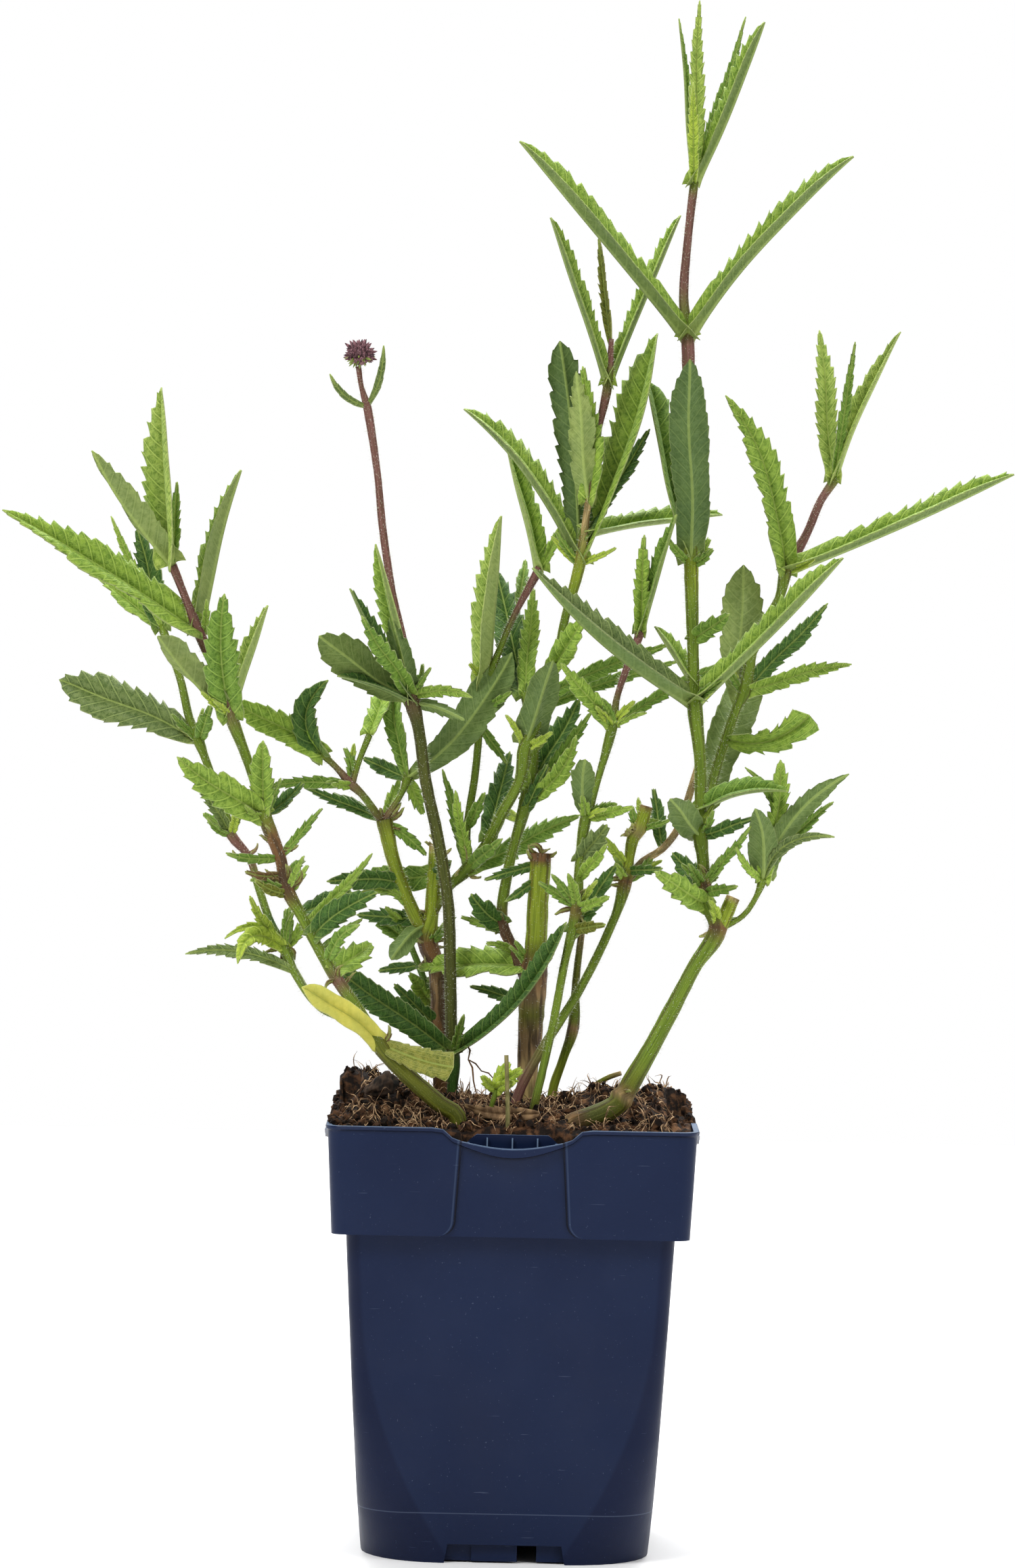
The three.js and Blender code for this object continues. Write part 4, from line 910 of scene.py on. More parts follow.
@dataclass(frozen=True)
class Stem:
    """A stem: its stations, its tones as (height, tone) from the soil up, and where leaflets grow on it."""

    stations: tuple[Station, ...]
    tints: tuple[tuple[float, Tone], ...]
    squareness: float = 0.05
    axils_from: float = 160.0
    axils_to: float = 345.0
    swelling: float = 0.2
    step: float = 2.2
    thick: float = 1.7

    def tone_at(self, height: float) -> tuple[float, ...]:
        """Gives the tone at a height.

        Args:
            height: The height, read in the front view.

        Returns:
            The colour and its share of bark.
        """
        if height <= self.tints[0][0]:
            return self.tints[0][1].painted
        for (low, below), (high, above) in zip(self.tints, self.tints[1:]):
            if height <= high:
                return blend(below.painted, above.painted, (height - low) / (high - low))
        return self.tints[-1][1].painted

    def point_at(self, height: float) -> Vector:
        """Gives the middle of the stem at a height.

        Args:
            height: The height, read in the front view.

        Returns:
            Its place across, height and depth in the front view.
        """
        stations = self.stations
        upper = next((i for i, station in enumerate(stations) if station[1] >= height), 0)
        end = len(stations) - 1 if stations[-1][1] < height else max(1, upper)
        low, high = Vector(stations[end - 1][:3]), Vector(stations[end][:3])
        return low.lerp(high, kept((height - low.y) / (high.y - low.y)))

    def leaflets(self, seed: int) -> list[Leaf]:
        """Grows a few tiny leaves in the axils of each swollen node.

        Args:
            seed: Seed of their number and directions.

        Returns:
            The leaflets.
        """
        chance = random.Random(seed)
        grown = []
        for below, here, above in zip(self.stations, self.stations[1:], self.stations[2:]):
            swollen = here[3] > max(below[3], above[3]) + self.swelling
            if not swollen or not self.axils_from <= here[1] < self.axils_to:
                continue
            upward = Vector((above[0] - below[0], above[1] - below[1])).normalized()
            for hand in (-1, 1, -1, 1)[: chance.choice((3, 4))]:
                turned = Matrix.Rotation(-hand * math.radians(chance.uniform(22, 58)), 2)
                tip = Vector(here[:2]) + turned @ upward * chance.uniform(6.0, 13.0)
                lean, half = chance.uniform(-5, 4), chance.uniform(1.1, 2.1)
                tone = chance.choice((BRIGHT, MID, MID, LIME))
                bend, spin = chance.uniform(-0.8, 0.8), chance.uniform(-30, 30)
                grown.append(Leaf(here[1], tip.x, tip.y, lean, half, tone, spin, bend, fold=35))
        return grown

    def shreds(self, bunches: Iterable[tuple[float, int, float, Tone]]) -> list[Leaf]:
        """Hangs thin dried shreds on the stem.

        Args:
            bunches: Height, number, length and tone of each bunch.

        Returns:
            The shreds, as very narrow curled blades.
        """
        hung = []
        for height, count, length, tone in bunches:
            chance = random.Random(round(height * 10) + count)
            middle = self.point_at(height)
            for _ in range(count):
                way = Vector((chance.uniform(-1, 1), chance.uniform(-0.7, 1.0))).normalized()
                tip = Vector((middle.x, middle.y)) + way * length * chance.uniform(0.8, 1.7)
                curl, twist = chance.uniform(-2, 2), chance.uniform(-90, 90)
                lean, bend = chance.uniform(-2.5, 0), chance.uniform(-1.6, 1.6)
                shred = Leaf(height, tip.x, tip.y, lean, 0.8, tone, 20, bend, 20, NARROW, 0.5, curl, twist)
                hung.append(shred)
        return hung

    def build(self, seed: int) -> BMesh:
        """Builds the stem as a closed skin with four soft ribs.

        Args:
            seed: Seed of its small unevenness.

        Returns:
            The bmesh, in metres.
        """
        line = curve_points(self.stations, self.step)
        last = len(line) - 1
        sides = 14 if max(station[3] for station in self.stations) > self.thick else 10
        lengths = [0.0]
        for (start, _, _), (end, _, _) in zip(line, line[1:]):
            lengths.append(lengths[-1] + (end - start).length)

        def place(column: int, row: int, _: bool) -> Skin:
            """Puts a point of the skin round the line.

            Args:
                column: Its column, round the stem.
                row: Its row, from the soil up, with a cap at each end.

            Returns:
                The point, its tone and its places on the two maps.
            """
            index = min(last, max(0, row - 1))
            spot, radius, height = line[index]
            ahead = line[min(last, index + 1)][0] - line[max(0, index - 1)][0]
            across, inward = sideways(ahead.normalized())
            around = 2 * math.pi * (column % sides) / sides
            rough = noise.noise(spot * 0.35 + Vector((seed, around, 0))) * 0.07
            reach = radius * (1 - self.squareness * math.cos(4 * around) + rough)
            reach = 0.0 if row in (0, last + 2) else reach
            point = spot + across * math.cos(around) * reach + inward * math.sin(around) * reach
            wide = radius * 2 * math.pi * column / sides
            return point, self.tone_at(height), (wide, lengths[index]), (column / sides, 0.5)

        return sheet(sides, last + 2, place)


@dataclass(frozen=True)
class LeafyStem:
    """One plant of stems and leaves that stands for one CAD node, with the hairs on its stems."""

    node: str
    names: tuple[str, ...]
    slot: str = "leaf_green"
    bare_below: float = 150.0
    hairs_a_step: int = 11
    step: float = 1.0

    def build(self, finishes: list[Material], seed: int) -> None:
        """Builds all stems and leaves of the node as one piece.

        Args:
            finishes: Leaf and stem materials.
            seed: Seed of the small differences between its leaves.
        """
        piece = Build(self.node + "_finished", self.slot, finishes)
        for order, name in enumerate(self.names):
            stem = STEMS[name]
            piece.add(stem.build(seed + order), 1)
            growth = [Leaf(*row) for row in LEAVES.get(name, ())]
            growth += stem.leaflets(seed + order) + stem.shreds(SHREDS.get(name, ()))
            for count, leaf in enumerate(growth):
                piece.add(leaf.build(stem.point_at(leaf.height), seed * 1000 + order * 100 + count))
        piece.finish(self.node)

    def hair_roots(self, seed: int) -> list[Root]:
        """Chooses where hairs grow on the stems.

        Args:
            seed: Seed of the choice.

        Returns:
            Root, direction and length of each hair.
        """
        chance = random.Random(seed)
        roots = []
        for name in self.names:
            line = curve_points(STEMS[name].stations, self.step)
            for (spot, radius, height), (ahead, _, _) in zip(line, line[1:]):
                if height < self.bare_below:
                    continue
                along = (ahead - spot).normalized()
                across, inward = sideways(along)
                for _ in range(self.hairs_a_step):
                    around = chance.uniform(0, 2 * math.pi)
                    out = across * math.cos(around) + inward * math.sin(around)
                    root = spot.lerp(ahead, chance.random()) + out * radius * 0.97
                    way = out + along * chance.uniform(-0.1, 0.5) + inward * chance.uniform(-0.2, 0.2)
                    roots.append((root, way, chance.uniform(0.5, 1.35)))
        return roots


@dataclass(frozen=True)
class Hairs:
    """The fine hairs of all leafy stems, as one piece."""

    radius: float = 0.044
    sides: int = 3
    seed: int = 300

    def tuft(self, roots: list[Root]) -> BMesh:
        """Plants fine tapered hairs.

        Args:
            roots: Root in millimetres, direction and length of each hair.

        Returns:
            The bmesh, in metres.
        """
        hairs = bmesh.new()
        cone = {"segments": self.sides, "radius1": 1.0, "radius2": 0.0, "depth": 1.0}
        bmesh.ops.create_cone(hairs, cap_ends=False, **cone)
        bmesh.ops.remove_doubles(hairs, verts=hairs.verts[:], dist=1e-4)
        for points, (root, way, reach) in zip(repeated(hairs, len(roots)), roots):
            turned = way.to_track_quat("Z", "Y").to_matrix()
            for point, rest in points:
                sized = Vector((rest.x * self.radius, rest.y * self.radius, (rest.z + 0.5) * reach))
                point.co = (root + turned @ sized) * MM
        return hairs

    def build(self, plants: tuple[LeafyStem, ...]) -> None:
        """Builds the hairs of all plants.

        Args:
            plants: The plants.
        """
        piece = Build("stem_hairs", "leaf_green", [HairFinish().make()])
        for order, plant in enumerate(plants):
            roots = plant.hair_roots(self.seed + order)
            if roots:
                piece.add(self.tuft(roots))
        piece.finish()


# Stems: stations as place across, height and depth read in the front view, and radius; then the tones
# by height
STEMS = {
    "left_main": Stem((
        (-15, 112, -38, 2.7), (-17, 130, -38, 2.7), (-22, 133.5, -38, 2.7), (-31, 141, -36, 2.7),
        (-40, 150, -34, 2.7), (-45, 158, -32, 1.8), (-55, 172, -27, 2), (-60, 180, -23, 1.7),
        (-65.5, 190, -20, 1.7), (-70, 198, -18, 2.2), (-72.5, 208, -15, 1.9), (-77.5, 220.5, -12, 2.3),
        (-81, 232, -12, 1.6), (-84, 240, -13, 1.6), (-88, 250, -15, 2.1), (-92, 262, -18, 1.3),
        (-98, 275, -22, 1.8), (-103, 287, -25, 1.2), (-107, 296.5, -28, 1.4),
    ), (
        (130, OLIVE), (150, OLIVE), (166, STEM), (170, PURPLE), (175, STEM), (192, STEM), (197, BROWN),
        (214, BROWN), (222, STEM), (246, STEM), (256, PURPLE),
    )),
    "left_fork": Stem((
        (-41, 151, -34, 1.5), (-50, 158, -27, 1.3), (-60, 163, -20, 1.3), (-68, 174, -9, 1.4),
        (-70.5, 180, -5, 1.9), (-75, 188, -1, 1.3), (-79, 199, 4, 1.3), (-82, 208, 8, 1.2),
        (-87.5, 214.5, 10, 1.7), (-89, 220, 12, 1.3), (-96, 238, 18, 1.3), (-98, 243, 20, 1.8),
        (-101, 250, 22, 1.4), (-104, 262, 26, 1.3), (-110, 278, 31, 1.4),
    ), ((182, STEM), (188, DARK), (192, STEM), (202, STEM), (206, PURPLE), (213, PURPLE), (219, STEM))),
    "flowering": Stem((
        (-18, 112, 2, 1.6), (-18.5, 136, 2, 1.6), (-18.5, 148, 2, 2.3), (-19, 152, 2, 1.9),
        (-20, 175, 2, 1.95), (-21, 195, 1, 1.9), (-24.5, 215, 1, 1.9), (-28.5, 232, 0, 1.9),
        (-31, 248, 0, 1.9), (-33, 256, -1, 2.5), (-34, 262, -1, 1.6), (-36.5, 275, -2, 1.5),
        (-40, 290, -1, 1.25), (-43.3, 310, 3, 1.25), (-45, 325, 6, 1.15), (-48.5, 345.5, 11, 1.4),
        (-50.5, 352, 12, 0.8), (-51.5, 358, 13, 0.9),
    ), ((146, DARK), (152, DUSK), (250, DUSK), (264, PURPLE))),
    "dry_rootlet": Stem((
        (-18.4, 151, 2, 0.34), (-16.2, 155.5, 1, 0.3), (-14.6, 152.5, 0, 0.22), (-13.4, 150.2, -1, 0.3),
        (-13.9, 147.4, -2, 0.22), (-12.6, 145, -3, 0.3), (-12.2, 141, -4, 0.24), (-10.6, 135, -6, 0.2),
    ), ((141, BROWN), (155, BROWN))),
    "second_rootlet": Stem((
        (-13.9, 147.4, -2, 0.2), (-11.6, 146.2, -3, 0.26), (-9.8, 144, -4, 0.2),
        (-7.6, 143.4, -5, 0.24), (-5.6, 141.2, -6, 0.15),
    ), ((141, BROWN), (148, BROWN))),
    "old_left": Stem((
        (-21, 112, 14, 2.4), (-22, 136, 14, 2.4), (-23, 155, 14, 2.5), (-24, 175, 14, 2.7),
        (-27, 183, 14, 3.2), (-26, 192, 14, 2.3), (-25, 213, 14, 2.2),
    ), (
        (158, BROWN), (170, BARK), (177, BROWN), (184, BROWN), (187, OLDSTEM), (209, OLDSTEM),
        (213, TAN),
    ), 0.03),
    "old_left_fork": Stem((
        (-27, 184, 14, 2.2), (-32, 193, 13, 2.2), (-38, 208, 10, 2.2), (-41, 220.5, 8, 2.7),
    ), ((184, BROWN), (190, OLDSTEM), (215, OLDSTEM), (220, OLIVE))),
    "back_shoot": Stem((
        (-23, 150, 20, 1.1), (-24, 160, 20, 1.1), (-28, 172, 20, 1.1), (-32.5, 183, 19, 1.0),
        (-35, 191, 18, 0.7),
    ), ((150, DARK), (191, MID))),
    "far_twig": Stem((
        (-41, 219, 8, 1.3), (-48, 228, 6, 1.2), (-51, 230.5, 5, 1.6), (-56, 236, 5, 1),
        (-60.5, 240, 5, 1.2),
    ), ((219, BROWN), (226, STEM), (232, PURPLE), (240, STEM))),
    "mid_twig": Stem((
        (-51, 230.5, 5, 1), (-49, 238, 4, 0.9), (-46, 246, 4, 1.1),
    ), ((230, PURPLE), (236, STEM))),
    "near_twig": Stem((
        (-41, 220, 8, 1.2), (-36, 228, 5, 0.9), (-34, 233.5, 4, 1.6),
    ), ((220, PURPLE), (228, STEM))),
    "middle": Stem((
        (-28, 186, 14, 1.2), (-23.5, 195.5, 13, 1.3), (-21, 200, 13, 1.5), (-15.5, 205.5, 11, 2.2),
        (-10, 213, 8, 1.7), (-5, 223, 5, 1.7), (0, 233, 2, 1.7), (1.5, 243, 0, 2.2), (5, 250, -1, 1.5),
        (11, 272, -3, 1.5), (13, 283, -3, 1.4), (17, 299, -4, 1.9), (19, 316, -5, 1.1),
        (21.5, 338, -5, 1), (24.5, 354, -6, 1.5), (25.3, 368, -6, 0.8),
    ), (
        (188, BROWN), (193, OLIVE), (200, STEM), (285, STEM), (298, OLDSTEM), (312, TAN), (322, TAN),
        (330, PURPLE), (350, PURPLE), (356, STEM), (361, PURPLE),
    )),
    "middle_fork": Stem((
        (-15.5, 206, 11, 1.4), (-15.7, 218, 13, 1.25), (-13.5, 235, 14, 1.25), (-12.3, 250, 14, 1.2),
        (-10.5, 262, 13, 1.7), (-6, 275, 11, 1), (-2, 284.5, 9, 1), (5, 298, 8, 1.5),
    ), ((206, STEM), (276, STEM), (286, PURPLE))),
    "old_right": Stem((
        (4.5, 112, 0, 3.4), (4.5, 134, 0, 3.4), (4.3, 145, 0, 3.3), (4.8, 155, 0, 3.9),
        (5.5, 174, 0, 4.5), (6, 181, -1, 3.4), (6.6, 200, -2, 3.3), (7, 211, -2, 3.3),
    ), (
        (146, TAN), (150, BARK), (156, BARK), (162, OLIVE), (167, BARK), (173, BROWN), (177, BROWN),
        (181, OLIVE), (185, OLDSTEM), (206.5, OLDSTEM), (208, BROWN),
    ), 0.03),
    "right_fork": Stem((
        (3, 173, 1, 2), (-1, 182, 4, 1.8), (-4.5, 190, 6, 1.9), (-3, 205, 7, 1.7), (-1.5, 212, 8, 1.6),
        (2.5, 228.5, 8, 2.2), (4.3, 243, 10, 1.5), (1, 260, 12, 1.5),
    ), ((190, BROWN), (196, STEM))),
    "slender": Stem((
        (3, 112, -29, 1.3), (6, 131, -28, 1.3), (9, 145, -26, 1.3), (12, 160, -24, 1.3),
        (15, 178, -21, 1.3), (18.3, 194, -18, 2), (18.8, 208, -16, 1.4), (20.5, 222, -14, 1.9),
        (24, 234, -11, 1.1), (28, 250, -8, 1.7), (29.5, 260, -6, 1), (36, 279, -2, 1.4),
    ), ((132, OLIVE), (140, STEM), (190, STEM), (193, BROWN), (197, STEM), (252, STEM), (262, PURPLE))),
    "diagonal": Stem((
        (-2, 112, -14, 1.6), (1, 135, -14, 1.6), (8, 150, -13, 1.5), (20, 170, -10, 1.4),
        (30, 192, -7, 1.4), (33, 203, -6, 2.3), (34, 210, -6, 1.6), (35, 216, -6, 2),
        (37, 219, -6, 2.3), (39, 226, -6, 2),
    ), (
        (140, PURPLE), (158, STEM), (198, STEM), (203, BROWN), (207, OLDSTEM), (216, OLDSTEM),
        (218, TAN), (220, OLDSTEM), (224, OLDSTEM), (226, BROWN),
    )),
    "tan_fork": Stem((
        (34, 204, -6, 1.3), (38, 209, -4, 1.2), (44, 213, -4, 1.2), (49, 220, -5, 1.2),
        (52, 230, -6, 1.2), (54.5, 239, -7, 1.1),
    ), ((204, STEM), (208, TAN))),
    "short": Stem((
        (10, 112, 20, 1.5), (12, 138, 20, 1.5), (15, 148, 19, 1.4), (18, 158, 17, 1.9),
        (18.5, 172, 15, 1.2), (20, 188, 12, 1.1),
    ), (
        (145, OLDSTEM), (153, STEM), (158, BARK), (161, STEM), (172, OLIVE), (180, OLIVE), (188, BARK),
    )),
    "fallen_twig": Stem((
        (22.5, 138.5, 12, 0.6), (26, 141.2, 12, 0.8), (29.5, 143, 11, 0.85), (32.8, 144.2, 10, 0.75),
    ), ((140, BROWN), (142, OLDSTEM), (144, TAN))),
    "tall": Stem((
        (13, 121, -38, 2.2), (16.5, 127.8, -38, 2.8), (21, 129.6, -37, 3.2), (28, 132.2, -35, 3.4),
        (31.8, 134.6, -33.6, 3.2), (33.1, 136.4, -33, 4.0), (34.5, 138.6, -32.2, 3.1),
        (45, 158, -28, 2.6), (55, 178, -23, 2.3), (61.5, 189, -20, 3), (58, 196, -19, 2),
        (57, 202, -18, 2.4), (56.5, 210, -17, 1.9), (55.5, 217, -16, 2.4), (55.5, 225, -14, 2),
        (55, 240, -12, 1.9), (53, 257, -10, 2.4), (52.3, 270, -9, 1.8), (51, 300, -6, 2.3),
        (50, 330, -3, 1.7), (48.5, 368, -1, 2.1), (47, 381, 1, 1.5), (48, 400, 5, 1.3),
        (49.5, 416, 8, 1.4),
    ), (
        # DUSK at the stem's foot is painted shade where the stem stands in shadow.
        (127, TAN), (129, BROWN), (130.5, DUSK), (134.6, OLIVE), (135.8, BROWN), (136.8, TAN),
        (138, BROWN), (139.5, OLIVE), (150, STEM), (158, STEM), (184, STEM), (189, BROWN), (193, STEM),
        (198, STEM), (202, BROWN), (205, STEM), (288, STEM), (298, OLDSTEM), (306, STEM), (345, STEM),
        (362, PURPLE), (367, PURPLE), (372, STEM), (384, PURPLE), (411, PURPLE), (415, STEM),
    )),
    "tall_fork": Stem((
        (56, 217, -16, 1.6), (57.5, 226, -8, 1.5), (60, 238, 0, 1.6), (66, 257, 6, 1.6),
        (68, 261, 6, 2.2), (71, 277, 10, 1.6), (78, 290, 14, 1.5), (80, 298.5, 17, 2.1),
        (86, 310, 21, 1.4), (90, 320, 24, 1.3), (94.5, 327, 27, 1.5),
    ), ((217, STEM), (295, STEM), (304, PURPLE), (322, PURPLE), (327, STEM))),
    "cut_stub": Stem(((62, 189, -20, 2.3), (66, 198.7, -20, 2.2)), ((197, OLDSTEM), (198, TAN)), 0.03),
    "side_shoot": Stem((
        (62, 189, -20, 1.2), (69, 193, -20, 0.9), (73, 199, -20, 0.9), (75, 204.5, -20, 1.5),
    ), ((190, STEM), (204, STEM))),
}

